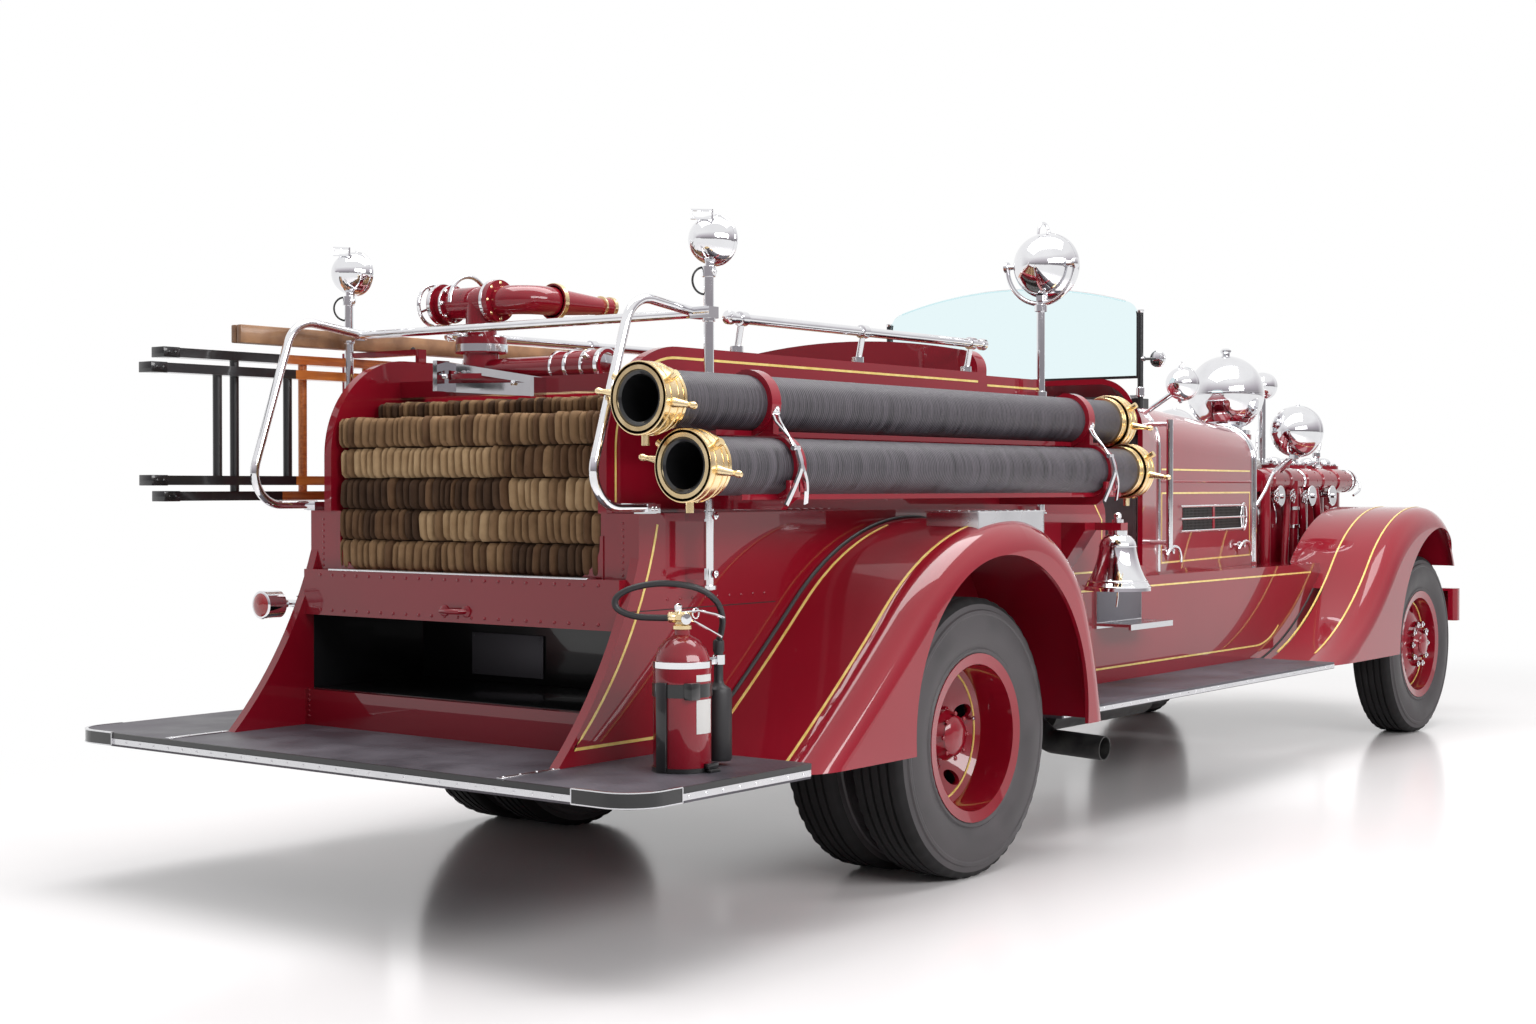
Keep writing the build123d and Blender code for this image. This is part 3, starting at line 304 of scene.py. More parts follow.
def lathe(shape, profile, centre, axis, steps=32, tone=0, closed=False):
    """Turns (radius, height) points about an axis through centre."""
    d, a, b = frame_of(axis)
    c = Vector(centre)
    points = [c + d * h + (a * math.cos(t) + b * math.sin(t)) * r for r, h in profile for t in angles(steps)]
    faces = quads(len(profile), steps, True, closed)
    for j in () if closed else (0, len(profile) - 1):
        if profile[j][0] > TIP:
            faces.append(tuple(range(j * steps, (j + 1) * steps)))
    shape.add(points, faces, tone)


def collars(shape, centre, axis, bands, ease=2, steps=24):
    """Turned rings, each given by its two ends, the radius of its eased edges and its full radius."""
    for a, b, edge, r in bands:
        lathe(shape, [(edge, a), (r, a + ease), (r, b - ease), (edge, b)], centre, axis, steps)


def pipe(shape, path, radius, sides=10, closed=False, flat=1.0):
    """Round bar along a path; flat below 1 thins it across."""
    path = [Vector(p) for p in path]
    count = len(path)
    points = []
    up = None
    for i, p in enumerate(path):
        before = path[i - 1] if i or closed else p
        after = path[(i + 1) % count] if i < count - 1 or closed else p
        t = (after - before).normalized()
        if up is None:
            up = frame_of(t)[1]
        up = (up - t * up.dot(t)).normalized()
        side = t.cross(up)
        points += [p + (up * math.cos(w) + side * math.sin(w) * flat) * radius for w in angles(sides)]
    faces = quads(count, sides, True, closed)
    if not closed:
        faces += [tuple(range(sides)), tuple(range((count - 1) * sides, count * sides))]
    shape.add(points, faces)


def hoop(shape, centre, radius, thick, count, sides):
    """Upright ring of round bar that faces sideways."""
    x, y, z = centre
    line = [(x + radius * math.cos(t), y, z + radius * math.sin(t)) for t in angles(count)]
    pipe(shape, line, thick, sides, True)


def ribbon(shape, path, normals, width, lift=0.9, sink=1.0, tone=0):
    """Flat strip along a path that lies on a surface with the given normals."""
    path = [Vector(p) for p in path]
    if isinstance(normals, tuple):
        normals = [normals] * len(path)
    points = []
    for p, t, normal in zip(path, tangents(path), normals):
        n = Vector(normal).normalized()
        s = t.cross(n).normalized() * (width / 2)
        points += [p - s - n * sink, p - s + n * lift, p + s + n * lift, p + s - n * sink]
    end = len(points)
    shape.add(points, quads(len(path), 4, True) + [(0, 1, 2, 3), tuple(range(end - 4, end))], tone)


def bar(shape, corner, opposite, bevel=2.0, tone=0):
    """Box with softened edges between two opposite corners."""
    bm = bmesh.new()
    bmesh.ops.create_cube(bm, size=1.0)
    low = [min(pair) for pair in zip(corner, opposite)]
    high = [max(pair) for pair in zip(corner, opposite)]
    for v in bm.verts:
        v.co = [low[i] + (v.co[i] + 0.5) * (high[i] - low[i]) for i in range(3)]
    bmesh.ops.bevel(bm, geom=bm.edges[:], offset=bevel, segments=2, affect="EDGES", profile=0.5)
    bm.verts.index_update()
    shape.add([v.co for v in bm.verts], [[v.index for v in f.verts] for f in bm.faces], tone)
    bm.free()


def rivet(shape, where, way, r=7.0, h=4.0, tone=0):
    lathe(shape, [(r, -1.0), (r * 0.92, h * 0.45), (r * 0.6, h * 0.85), (0.001, h)], where, way, 10, tone)


def nut(shape, where, way, r=13.0, h=10.0, tone=0):
    lathe(shape, [(r, -1.0), (r, h * 0.85), (r * 0.82, h)], where, way, 6, tone)
    lathe(shape, [(r * 0.5, h * 0.8), (r * 0.5, h * 1.35), (r * 0.35, h * 1.5)], where, way, 10, tone)


def ring_of(add, shape, centre, axis, radius, count, *size, tone=0):
    """A ring of rivets or nuts about an axis."""
    d, a, b = frame_of(axis)
    for t in angles(count):
        add(shape, Vector(centre) + (a * math.cos(t) + b * math.sin(t)) * radius, d, *size, tone=tone)


def row_of(add, shape, start, step, count, way, *size):
    """A row of rivets or nuts from start, a step apart."""
    for i in range(count):
        add(shape, Vector(start) + Vector(step) * i, way, *size)


# Curves

def arc(p, tangent, q, steps=14):
    """Points on the arc that leaves p along a tangent and reaches q, with its last direction."""
    p, t, q = Vector(p), Vector(tangent).normalized(), Vector(q)
    n = Vector((-t.y, t.x))
    run = q - p
    bend = run.dot(n)
    if abs(bend) < 1e-6:
        return [p.lerp(q, i / steps) for i in range(steps + 1)], t
    c = p + n * (run.length_squared / (2 * bend))
    turn = 2 * math.atan2(bend, run.dot(t))
    return ([c + Matrix.Rotation(turn * i / steps, 2) @ (p - c) for i in range(steps + 1)],
            Matrix.Rotation(turn, 2) @ t)


def three_point(a, b, c, steps=16):
    """Points on the arc through three points of a plane."""
    a, b, c = Vector(a), Vector(b), Vector(c)
    d = 2 * (a.x * (b.y - c.y) + b.x * (c.y - a.y) + c.x * (a.y - b.y))
    aa, bb, cc = a.length_squared, b.length_squared, c.length_squared
    m = Vector(((aa * (b.y - c.y) + bb * (c.y - a.y) + cc * (a.y - b.y)) / d,
                (aa * (c.x - b.x) + bb * (a.x - c.x) + cc * (b.x - a.x)) / d))
    full = 2 * math.pi
    start, mid, end = (math.atan2(p.y - m.y, p.x - m.x) for p in (a, b, c))
    sweep = (end - start) % full
    if (mid - start) % full > sweep:
        sweep -= full
    r = (a - m).length
    return [m + Vector((math.cos(start + sweep * i / steps), math.sin(start + sweep * i / steps))) * r
            for i in range(steps + 1)]


def fender_line(tail, rise, crest, fall, tip):
    """Side curve of a fender from tail to tip, as in the part's own outline."""
    back, out = arc(crest, (-1, 0), rise)
    foot, out = arc(rise, out, tail)
    front, out = arc(crest, (1, 0), fall)
    nose, out = arc(fall, out, tip)
    return list(reversed(back + foot[1:])) + front[1:] + nose[1:]


def on_side(line, y):
    return [(p[0], y, p[1]) for p in line]


def smooth(path, steps):
    """Rounds a path of points into an even curve through them."""
    path = [Vector(p) for p in path]
    last = len(path) - 1
    made = []
    for i in range(last):
        a, b, c, d = path[max(i - 1, 0)], path[i], path[i + 1], path[min(i + 2, last)]
        for k in range(steps):
            t = k / steps
            made.append(0.5 * (2 * b + (c - a) * t + (2 * a - 5 * b + 4 * c - d) * t ** 2
                               + (3 * b - a - 3 * c + d) * t ** 3))
    return made + [path[-1]]


REAR_FENDER = fender_line((-1120, 490), (-550, 960), (180, 1240), (680, 900), (790, 490))
FRONT_FENDER = fender_line((3500, 490), (4350, 950), (5050, 1240), (5400, 1070), (5490, 920))


def hood_y(x):
    """Half width of the hood's side at a place along it."""
    return 585 - (x - 2525) * 155 / 1380


# Wheels, with rings of nuts and rivets by tone, face, radius, count, size and height

AXLE_ENDS = {
    "front": {"x": 5080, "y": 800, "tyres": (800,), "node": "front_tyre_", "body": "front_wheel_",
              "line": 833.5, "valve": 845, "cap": [(60, 117), (56, 126), (34, 133), (TIP, 135)],
              "rings": ((nut, 1, 894, 112, 10, 18, 14), (rivet, 0, 872, 84, 10, 8, 6))},
    "rear": {"x": 0, "y": 907, "tyres": (771, 1043), "node": "rear_tyres_", "body": "rear_wheels_",
             "line": 990.5, "valve": 985, "cap": [(70, 150), (62, 158), (36, 165), (TIP, 167)],
             "rings": ((nut, 0, 951, 124, 10, 16, 12), (rivet, 0, 1058, 78, 8, 9, 7))}}
TYRE_WALL = [(271, 84), (288, 95), (298, 104), (306, 106), (312, 101), (332, 108), (352, 113.5), (376, 115.5),
             (402, 114.5), (424, 110.5), (430, 113), (440, 111.5), (444, 105), (462, 101)]
TYRE_SHOULDER = [(474, 95), (481, 88), (484.5, 80)]
NOTCHES = {95: 7, 88: 7, 80: 3}          # depth of the notches by half width
GROOVES = (52, 18)


def tyre(shape, x, y):
    tread = [(r, w + a) for w in GROOVES for r, a in ((485, 6), (475, 4), (475, -4), (485, -6))]
    half = TYRE_WALL + TYRE_SHOULDER + tread
    profile = [(r, -w) for r, w in half] + list(reversed(half))
    steps = 144
    points = []
    for r, w in profile:
        for i, t in enumerate(angles(steps)):
            reach = r - NOTCHES.get(abs(w), 0) if i % 3 == 0 else r
            points.append((x + reach * math.cos(t), y + w, AXLE_Z + reach * math.sin(t)))
    faces = quads(len(profile), steps, True, True)
    wall = (len(TYRE_WALL) - 1) * steps
    shape.add(points, faces[:wall] + faces[-wall - steps:])
    shape.add(points, faces[wall:-wall - steps], 1)


def wheels():
    for side, s in SIDES:
        out = (0, s, 0)
        for axle in AXLE_ENDS.values():
            body = axle["body"] + side
            x = axle["x"]
            shape = Shape()
            for y in axle["tyres"]:
                tyre(shape, x, s * y)
            tread = shape.place("tread_" + body, [RUBBER, SHADED_TREAD], "rubber", body, 30)
            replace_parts(tread, axle["node"] + side)
            trim = Shape()
            lathe(trim, axle["cap"], (x, s * axle["y"], AXLE_Z), out, 36)
            for add, tone, face, *size in axle["rings"]:
                ring_of(add, trim, (x, s * face, AXLE_Z), out, *size, tone=tone)
            stem = [(8, 0), (8, 26), (5, 30), (TIP, 31)]
            lathe(trim, stem, (x + 200, s * axle["valve"], AXLE_Z + 40), out, 12, 1)
            trim.place("hub_trim_" + body, [RED, CHROME], "red_paint", body)


# Gold lines and black welting

def stripes():
    gold = Shape()
    welt = Shape()

    def over(fender, part, y):
        ways = [Vector((-t.y, 0, t.x)) for t in tangents(fender)]
        ribbon(gold, [(fender[i].x, y, fender[i].y) for i in part], [ways[i] for i in part], 9, 2.2, 3)

    behind = [i for i, p in enumerate(REAR_FENDER) if p.x < -20]
    ahead = [i for i, p in enumerate(REAR_FENDER) if p.x > 560]
    wing = [(-1180, 580)] + three_point((-1622, 580), (-1418, 822), (-1243, 1236))
    rise = [(905, 562)] + arc((3480, 562), (1, 0), (3760, 650))[0]
    shoulder = three_point((1312, 1752), (1505, 1462), (1776, 1280))
    corner = three_point((-1318, 1470), (-1230, 1680), (-1016, 1764))
    flat_lines = [(PILLAR_Y, 9, wing), (APRON_Y, 8, rise), (APRON_Y, 8, [(905, 905), (1790, 905)]),
                  (APRON_Y, 8, [(2230, 905), (4180, 905)]), (APRON_Y, 8, [(905, 562), (905, 905)]),
                  (BED_Y, 8, [(890, 1752)] + shoulder + [(1846, 1208), (1846, 985), (890, 985)]),
                  (BED_Y, 8, [(-1318, 1300)] + corner + [(820, 1764)])]
    cowl = ((2290, 1000), (2290, 1560), (2500, 1520), (2500, 1000))
    hood = ([(2560, 1432), (3870, 1432)], [(2560, 1322), (3870, 1322)],
            [(2560, 1322), (2560, 1000), (3870, 1000), (3870, 1322)])
    for side, s in SIDES:
        for part, y in ((behind, 1134), (ahead, 1134), (behind, 806)):
            over(REAR_FENDER, part, s * y)
        for y in (884, 690):
            over(FRONT_FENDER, range(2, len(FRONT_FENDER) - 2), s * y)
        for y, width, line in flat_lines:
            ribbon(gold, on_side(line, s * y), (0, s, 0), width)
        ribbon(gold, [(x, s * (651 - (x - 2150) * 70 / 375), z) for x, z in cowl], (0.18, s, 0), 8, 2.0, 3)
        pipe(welt, [(p.x, s * 762, p.y + 3) for p in REAR_FENDER], 7, 8)
        pipe(welt, [(p.x, s * (APRON_Y if p.x < 4300 else 455), p.y - 8) for p in FRONT_FENDER[:20]], 6, 8)
    gold.place("gold_lines", GOLD, "brass")
    welt.place("welting", WELT, "rubber")
    for side, s in SIDES:
        lines = Shape()
        for path in hood:
            ribbon(lines, [(x, s * hood_y(x), z) for x, z in path], (0.11, s, 0), 8, 1.6, 2)
        lines.place("hood_lines_" + side, GOLD, "brass", "hood_" + side)
        for end, axle in AXLE_ENDS.items():
            ring = Shape()
            flat_ring = [(231, -1), (231, 2.2), (238, 2.2), (238, -1)]
            lathe(ring, flat_ring, (axle["x"], s * axle["line"], AXLE_Z), (0, s, 0), 72, closed=True)
            ring.place(end + "_wheel_line_" + side, GOLD, "brass", axle["body"] + side)


# Folded fire hose in the bed, with mixes of canvas tones by row for each third across

BED_HALF, BED_FLOOR, FOLDS_TOP, UPPER_TOP = 597, 1069, 1590, 1648
FOLD_MIXES = [((1, 1, 2, 1), (1, 1, 1, 2), (1, 2, 2, 1)), ((0, 0, 0, 1), (0, 0, 1, 0), (2, 2, 1, 2)),
              ((3, 2, 3, 3), (3, 3, 2, 3), (0, 0, 1, 0)), ((2, 2, 3, 2), (0, 1, 0, 0), (1, 1, 2, 1)),
              ((1, 2, 1, 1), (1, 2, 1, 1), (2, 3, 2, 2))]


def hose_fold(shape, front, y0, y1, z0, z1, tone, lean=0.0, back=70.0):
    """One rounded end of flat hose, leaning to the side by so much at its top."""
    across, tall = 8, 8
    points = []
    for a in range(across + 1):
        u = 2 * a / across - 1
        for b in range(tall + 1):
            v = 2 * b / tall - 1
            x = front + 26 * abs(u) ** 2.8 + 15 * abs(v) ** 6
            y = (y0 + y1) / 2 + u * (y1 - y0) / 2 * (1 - 0.10 * abs(v) ** 8) + lean * v
            points.append((x, min(max(y, -598), 598), (z0 + z1) / 2 + v * (z1 - z0) / 2))
    faces = backed(points, across + 1, tall + 1, lambda p: (front + back, p[1], p[2]))
    shape.add(points, faces, tone)


def side_by_side(rng, narrow, wide):
    """Places and widths of folds across the bed."""
    y = 1.0 - BED_HALF
    while y < 590:
        w = min(rng.uniform(narrow, wide), BED_HALF - y)
        yield y, w
        y += w


def hose_pack():
    rng = random.Random(11)
    shape = Shape()
    tall = (FOLDS_TOP - BED_FLOOR) / len(FOLD_MIXES)
    for r, mix in enumerate(FOLD_MIXES):
        top = FOLDS_TOP - r * tall
        for y, w in side_by_side(rng, 24, 44):
            third = 0 if y > 200 else (1 if y > -200 else 2)
            low = top - tall + rng.uniform(0, 3)
            lean = 3 * math.sin(y * 0.011 + 2.1 * r) + rng.uniform(-1.5, 1.5)
            hose_fold(shape, -1345 + rng.uniform(0, 7), y, y + w - 2.0, low, top - rng.uniform(0, 7),
                      rng.choice(mix[third]), lean)
    for y, w in side_by_side(rng, 22, 30):
        hose_fold(shape, -1178 + rng.uniform(0, 16), y, y + w, 1588, UPPER_TOP - rng.uniform(0, 8),
                  rng.choice((1, 2, 1, 3)))
    # Core blocks behind the folds in the darkest canvas tone (umber): painted shade in the gaps between the
    # folds
    bar(shape, (-1300, -BED_HALF, BED_FLOOR), (640, BED_HALF, 1584), 3, 3)
    bar(shape, (-1130, -BED_HALF, 1580), (640, BED_HALF, 1638), 3, 3)
    for x0, x1, z, runs in ((-1290, -1120, 1588, 2), (-1120, 640, UPPER_TOP, 16)):
        for y, w in side_by_side(rng, 24, 30):
            tone = rng.choice((0, 1, 1, 2, 2, 3))
            points = []
            for i in range(runs + 1):
                drop = rng.uniform(0, 4)
                points += [(x0 + (x1 - x0) * i / runs, y + w / 2 + u * w / 2, z - drop - 11 * abs(u) ** 2.6)
                           for u in (-1, -0.6, 0, 0.6, 1)]
            shape.add(points, quads(runs + 1, 5), tone)
    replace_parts(shape.place("folded_hose", CANVASES, "canvas", crease=60), "hose_load")


# Step and running boards

STEP_BACK, STEP_HALF, STEP_CORNER, STEP_AHEAD = -1936, 1262, 110, -1140


def step_trim():
    bright = Shape()
    dark = Shape()
    middle = Vector((STEP_BACK + STEP_CORNER, STEP_CORNER - STEP_HALF))
    slant = STEP_CORNER * 0.7071
    diagonal = (middle.x - slant, middle.y - slant)
    corner = three_point((middle.x, -STEP_HALF), diagonal, (STEP_BACK, middle.y), 10)

    def facing(line):
        """Level directions out of the step along its rim."""
        ways = []
        for p, t in zip(line, tangents(line)):
            n = Vector((t.y, -t.x))
            n = n if n.dot(p - Vector((-1500, 0))) > 0 else -n
            ways.append((n.x, n.y, 0))
        return ways

    def level(line, z):
        return [(p.x, p.y, z) for p in line]

    half = [Vector((STEP_AHEAD, -STEP_HALF))] + corner
    rim = half + [Vector((p.x, -p.y)) for p in reversed(half)]
    ribbon(bright, level(rim, 501), facing(rim), 19, 3.5, 2)
    ribbon(dark, level(rim, 521), facing(rim), 17, 5, 2)
    for start, end in zip(rim, rim[1:]):
        run = end - start
        count = int(run.length / 74)
        if run.length < 60:
            continue
        out = Vector((0, math.copysign(1, start.y), 0)) if abs(run.x) > abs(run.y) else Vector(BACK)
        step = run.to_3d() / count
        first = start.to_3d() + step / 2 + out * 3 + Vector((0, 0, 501))
        row_of(rivet, bright, first, step, count, out, 5, 3)
    for s in (-1, 1):
        plate = [Vector((-1745, -STEP_HALF)), *corner, Vector((STEP_BACK, -1040))]
        plate = [Vector((p.x, p.y * -s)) for p in plate]
        out = facing(plate)
        ribbon(dark, level(plate, 509), out, 42, 8, 2)
        for z in (488, 530):
            ribbon(bright, level(plate, z), out, 3.5, 9.5, 2)
        for k in (0, -1):
            ribbon(bright, [(plate[k].x, plate[k].y, z) for z in (488, 530)], out[k], 4, 9.5, 2)
        bar(bright, (-1932, s * PILLAR_Y - 11, 529), (-1692, s * PILLAR_Y + 11, 533.5), 1.5)
        row_of(rivet, bright, (-1915, s * PILLAR_Y, 533.5), (68, 0, 0), 4, UP, 5, 2.5)
        ribbon(bright, [(x, s * 1040, 482) for x in (800, 3490)], (0, s, 0), 18, 3.5, 2)
        row_of(rivet, bright, (830, s * 1043.5, 482), (75, 0, 0), 36, (0, s, 0), 5, 3)
    bright.place("edge_trim", ALUMINIUM, "aluminium")
    dark.place("corner_plates", BLACK, "black_paint")


# Suction hoses: clamps and coupling rings

HOSES = [{"y": -950, "z": 1610, "rear": -1560, "front": 1375},
         {"y": -1050, "z": 1414, "rear": -1478, "front": 1330}]
RACK_X = (-1030, 1000)
COUPLING_HANDLE = [(17, 96), (14, 116), (9, 160), (8, 172), (10.5, 176), (11, 186), (7, 193), (TIP, 195)]
HOSE_MOUTH = [(84, 4), (78, 12), (74, 40), (74, 250), (70, 252), (70, 8), (78, 2)]


def hose_gear():
    brass = Shape()
    dark = Shape()
    for hose in HOSES:
        for end, way in (("rear", AHEAD), ("front", BACK)):
            at = Vector((hose[end], hose["y"], hose["z"]))
            for a, b, r in ((0, 9, 108.5), (24, 42, 108.5), (58, 66, 108.5), (74, 80, 99), (92, 98, 99)):
                ring = [(r - 4, a), (r, a + 2), (r, b - 2), (r - 4, b), (r - 12, b), (r - 12, a)]
                lathe(brass, ring, at, way, 48, closed=True)
            for t in (math.radians(8), math.radians(188)):
                lathe(brass, COUPLING_HANDLE, at + Vector(way) * 33, (0, math.cos(t), math.sin(t)), 16)
            lathe(dark, HOSE_MOUTH, at, way, 40, closed=True)
    brass.place("coupling_rings", BRASS, "brass")
    dark.place("hose_lining", BLACK, "rubber")
    chrome = Shape()
    red = Shape()
    lean = -40
    turn = [math.radians(t) for t in range(-100, 101, 10)]
    for x in RACK_X:
        band = [(x, -950 - 103 * math.cos(t), 1610 + 103 * math.sin(t)) for t in turn]
        ribbon(red, band, [(0, -math.cos(t), math.sin(t)) for t in turn], 46, 2.5, 2)
        foot = x + lean * 0.7
        for dx in (-12, 12):
            wire = [(x + dx, -1048, 1578), (x + dx + lean * 0.2, -1066, 1552), (x + lean * 0.5, -1120, 1500),
                    (foot - dx * 0.6, -1147, 1470)]
            pipe(chrome, wire, 4.2, 8)
        pipe(chrome, [(x - 18, -1048, 1580), (x + 18, -1048, 1580)], 7)
        pipe(chrome, [(foot - 16, -1148, 1470), (foot + 16, -1148, 1470)], 8)
        for end in ((x + lean * 1.9, -1146, 1296), (x + 34, -1140, 1300)):
            lever = [(foot, -1150, 1476), (x + lean * 0.5, -1163, 1420),
                     ((x + lean * 0.6 + end[0]) / 2 + 8, -1158, 1362), end]
            ribbon(chrome, smooth(lever, 5), (0, -1, 0.1), 13, 5, 3)
        nut(chrome, (x, -1052, 1590), (0, -1, 0), 11, 8)
        bar(red, (x + lean - 20, -1150, 1320), (x + lean + 34, -1134, 1372), 2)
    chrome.place("hose_clamps", CHROME, "chrome")
    red.place("hose_straps", RED, "red_paint")


# Lamps by kind, place and radius, with their posts, and the curve of a lens in shares of the radius

POST_X, POST_Y = -1087, 833
POST_BANDS = ((1030, 1046, 15, 24), (1250, 1276, 15, 22), (1866, 1880, 15, 21), (2004, 2040, 15, 22))
RAIL_Y, RAIL_Z = 655, 1910
SEARCH_X, SEARCH_Y, SEARCH_Z = 1226, -700, 2250
LAMPS = [("rear", POST_X + 30, POST_Y, 2122, 78), ("rear", POST_X + 30, -POST_Y, 2122, 78),
         ("cowl", 2480, 725, 1820, 75), ("cowl", 2480, -725, 1820, 75),
         ("search", SEARCH_X + 50, SEARCH_Y, SEARCH_Z, 134),
         ("head", 4640, 370, 1655, 140), ("head", 4640, -370, 1655, 140)]
LENS_CURVE = ((0.9, 0.2), (0.89, 0.24), (0.72, 0.30), (0.5, 0.345), (0.25, 0.375))
TAIL_LAMP = (-1500, 810, 945)


def lamp_posts(chrome):
    for s in (-1, 1):
        out = (0, s, 0)
        collars(chrome, (POST_X, s * POST_Y, 0), UP, POST_BANDS)
        for z in (1080, 1262):
            nut(chrome, (POST_X, s * (POST_Y + 23), z), out, 13, 9)
        for x in (-1310, -1292):
            rivet(chrome, (x, s * 793, 1285), out, 7, 5)
        rail = (0, s * RAIL_Y, RAIL_Z)
        collars(chrome, rail, AHEAD, [(x - 18, x + 18, 17, 24) for x in (-690, 20, 760)])
        for x, way in ((-745, BACK), (830, AHEAD)):
            lathe(chrome, [(17, 0), (23, 3), (23, 22), (12, 30), (TIP, 33)], (x, *rail[1:]), way, 20)
        knob = [(16, 0), (22, 2), (22, 14), (14, 18), (TIP, 19)]
        lathe(chrome, knob, (SEARCH_X, SEARCH_Y + s * 150, SEARCH_Z), out, 20)
    bands = ((1240, 1252, 16, 26), (1700, 1740, 16, 25), (2060, 2092, 16, 26))
    collars(chrome, (SEARCH_X, SEARCH_Y, 0), UP, bands, 3)


def lamp_gear():
    lens = Shape()
    chrome = Shape()
    wire = Shape()
    for kind, x, y, z, r in LAMPS:
        lathe(lens, [(a * r, b * r) for a, b in LENS_CURVE] + [(TIP, 0.385 * r)], (x, y, z), AHEAD, 40)
        rim = [(r + 2.5 * math.cos(t), 0.11 * r + 0.1 * r * math.sin(t)) for t in angles(10)]
        lathe(chrome, rim, (x, y, z), AHEAD, 48, closed=True)
        if kind == "rear":
            visor = [(x - 62, y + a, z + b) for a, b in ((-40, 58), (-40, 84), (44, 92), (44, 66))]
            pipe(chrome, visor, 4, 8, closed=True)
            for a, b in ((-36, 62), (40, 70)):
                pipe(chrome, [(x - 62, y + a, z + b), (x - 30, y + a * 0.8, z + b - 6)], 4, 8)
            loop = [(x - 34 - 40 * math.sin(t), y + 16 + 14 * math.sin(t), z - 128 + 42 * math.cos(t))
                    for t in (math.pi * i / 14 for i in range(15))]
            pipe(wire, loop, 3.5, 8)
            collars(chrome, (x - 28, y, z - 100), (0, 1, 0), [(-14, 14, 14, 17)], 3, 20)
            nut(chrome, (x - 28, y - 14, z - 100), (0, -1, 0), 13, 9)
        elif kind != "head":
            bail = [(x - 0.2 * r + 0.34 * r * math.cos(t), y, z + 0.93 * r + 0.36 * r * math.sin(t))
                    for t in (math.pi * i / 10 for i in range(11))]
            pipe(chrome, bail, max(3.5, r * 0.045), 8)
        nut(chrome, (x - 0.3 * r, y, z - 0.92 * r), (0, 0, -1), 0.2 * r, 0.18 * r)
        rivet(chrome, (x + 0.1 * r, y, z + r), UP, 0.08 * r, 0.1 * r)
    lamp_posts(chrome)
    lathe(chrome, [(42, -6), (49, -4), (49, 4), (45, 7)], TAIL_LAMP, BACK, 32)
    lens.place("lenses", LENS, "glass")
    wire.place("lamp_wires", WELT, "rubber")
    chrome.place("lamp_trim", CHROME, "chrome")
    ruby = Shape()
    lathe(ruby, [(44, -1), (44, 4), (38, 9), (22, 13), (TIP, 15)], TAIL_LAMP, BACK, 32)
    ruby.place("tail_lens", RUBY, "red_paint")


# Deck gun

GUN_X, GUN_Y, GUN_Z, BARREL_Y, INLET_Z = -980, 270, 1995, 55, 1757


def gun_gear():
    left, right = (0, 1, 0), (0, -1, 0)
    base = Shape()
    ring_of(nut, base, (GUN_X, GUN_Y, 1742), UP, 84, 8, 11, 8)
    collars(base, (GUN_X, GUN_Y, 0), UP, [(1818, 1848, 86, 92.5)], 2, 48)
    bands = ((-108, -96, 49, 55), (-176, -160, 50, 56), (-250, -236, 51, 57), (-319, -300, 52, 58))
    collars(base, (GUN_X, 0, INLET_Z), left, bands, 2, 40)
    for t in (0.6, 2.7, 4.8):
        lug = [(9, 50), (9, 72), (6, 76), (TIP, 77)]
        lathe(base, lug, (GUN_X, -270, INLET_Z), (math.cos(t), 0, math.sin(t)), 14)
    for y in (-60, 40, 320, 360):
        nut(base, (-1056, y, 1700 + y * 0.1), BACK, 10, 8)
    base.place("gun_base_trim", CHROME, "chrome")
    head = Shape()
    ring_of(nut, head, (GUN_X, GUN_Y, 1870.5), UP, 72, 8, 9, 7)
    bands = ((196, 212, 65.5, 73.5), (405, 417, 59.5, 67.5), (451, 469, 65.5, 73.5))
    collars(head, (GUN_X, 0, GUN_Z), left, bands, 2, 48)
    ring_of(nut, head, (GUN_X, 404, GUN_Z), right, 61, 8, 8, 6)
    ring_of(rivet, head, (GUN_X, 470, GUN_Z), left, 62, 8, 7, 5)
    hoop(head, (GUN_X, 508, GUN_Z), 72, 7, 36, 10)
    for i in range(4):
        t = math.pi * i / 2 + 0.4
        pipe(head, [(GUN_X, 500, GUN_Z), (GUN_X + 72 * math.cos(t), 508, GUN_Z + 72 * math.sin(t))], 5, 8)
    lathe(head, [(16, 480), (16, 505), (11, 514), (TIP, 516)], (GUN_X, 0, GUN_Z), left, 20)
    loop = [math.pi * (i / 16 - 0.05) for i in range(18)]
    pipe(head, [(GUN_X + 92 * math.cos(t), 330, GUN_Z + 92 * math.sin(t)) for t in loop], 8)
    head.place("gun_head_trim", CHROME, "chrome", "gun_head")
    barrel = Shape()
    bands = ((-850, -828, 56, 64), (-606, -594, 29, 37), (-560, -541, 29, 37))
    collars(barrel, (0, BARREL_Y, GUN_Z), AHEAD, bands, 2, 40)
    ring_of(nut, barrel, (GUN_X, 180, GUN_Z), right, 62, 8, 7, 5)
    barrel.place("gun_barrel_trim", BRASS, "brass", "gun_barrel")
    # Black disc across the muzzle: painted shade for the dark inside of the nozzle's bore
    bore = Shape()
    lathe(bore, [(20, -541), (24, -539.2), (23, -539), (TIP, -539.4)], (0, BARREL_Y, GUN_Z), AHEAD, 32)
    bore.place("gun_bore_shade", BLACK, "black_paint", "gun_barrel")


# Extinguisher, about its own axis

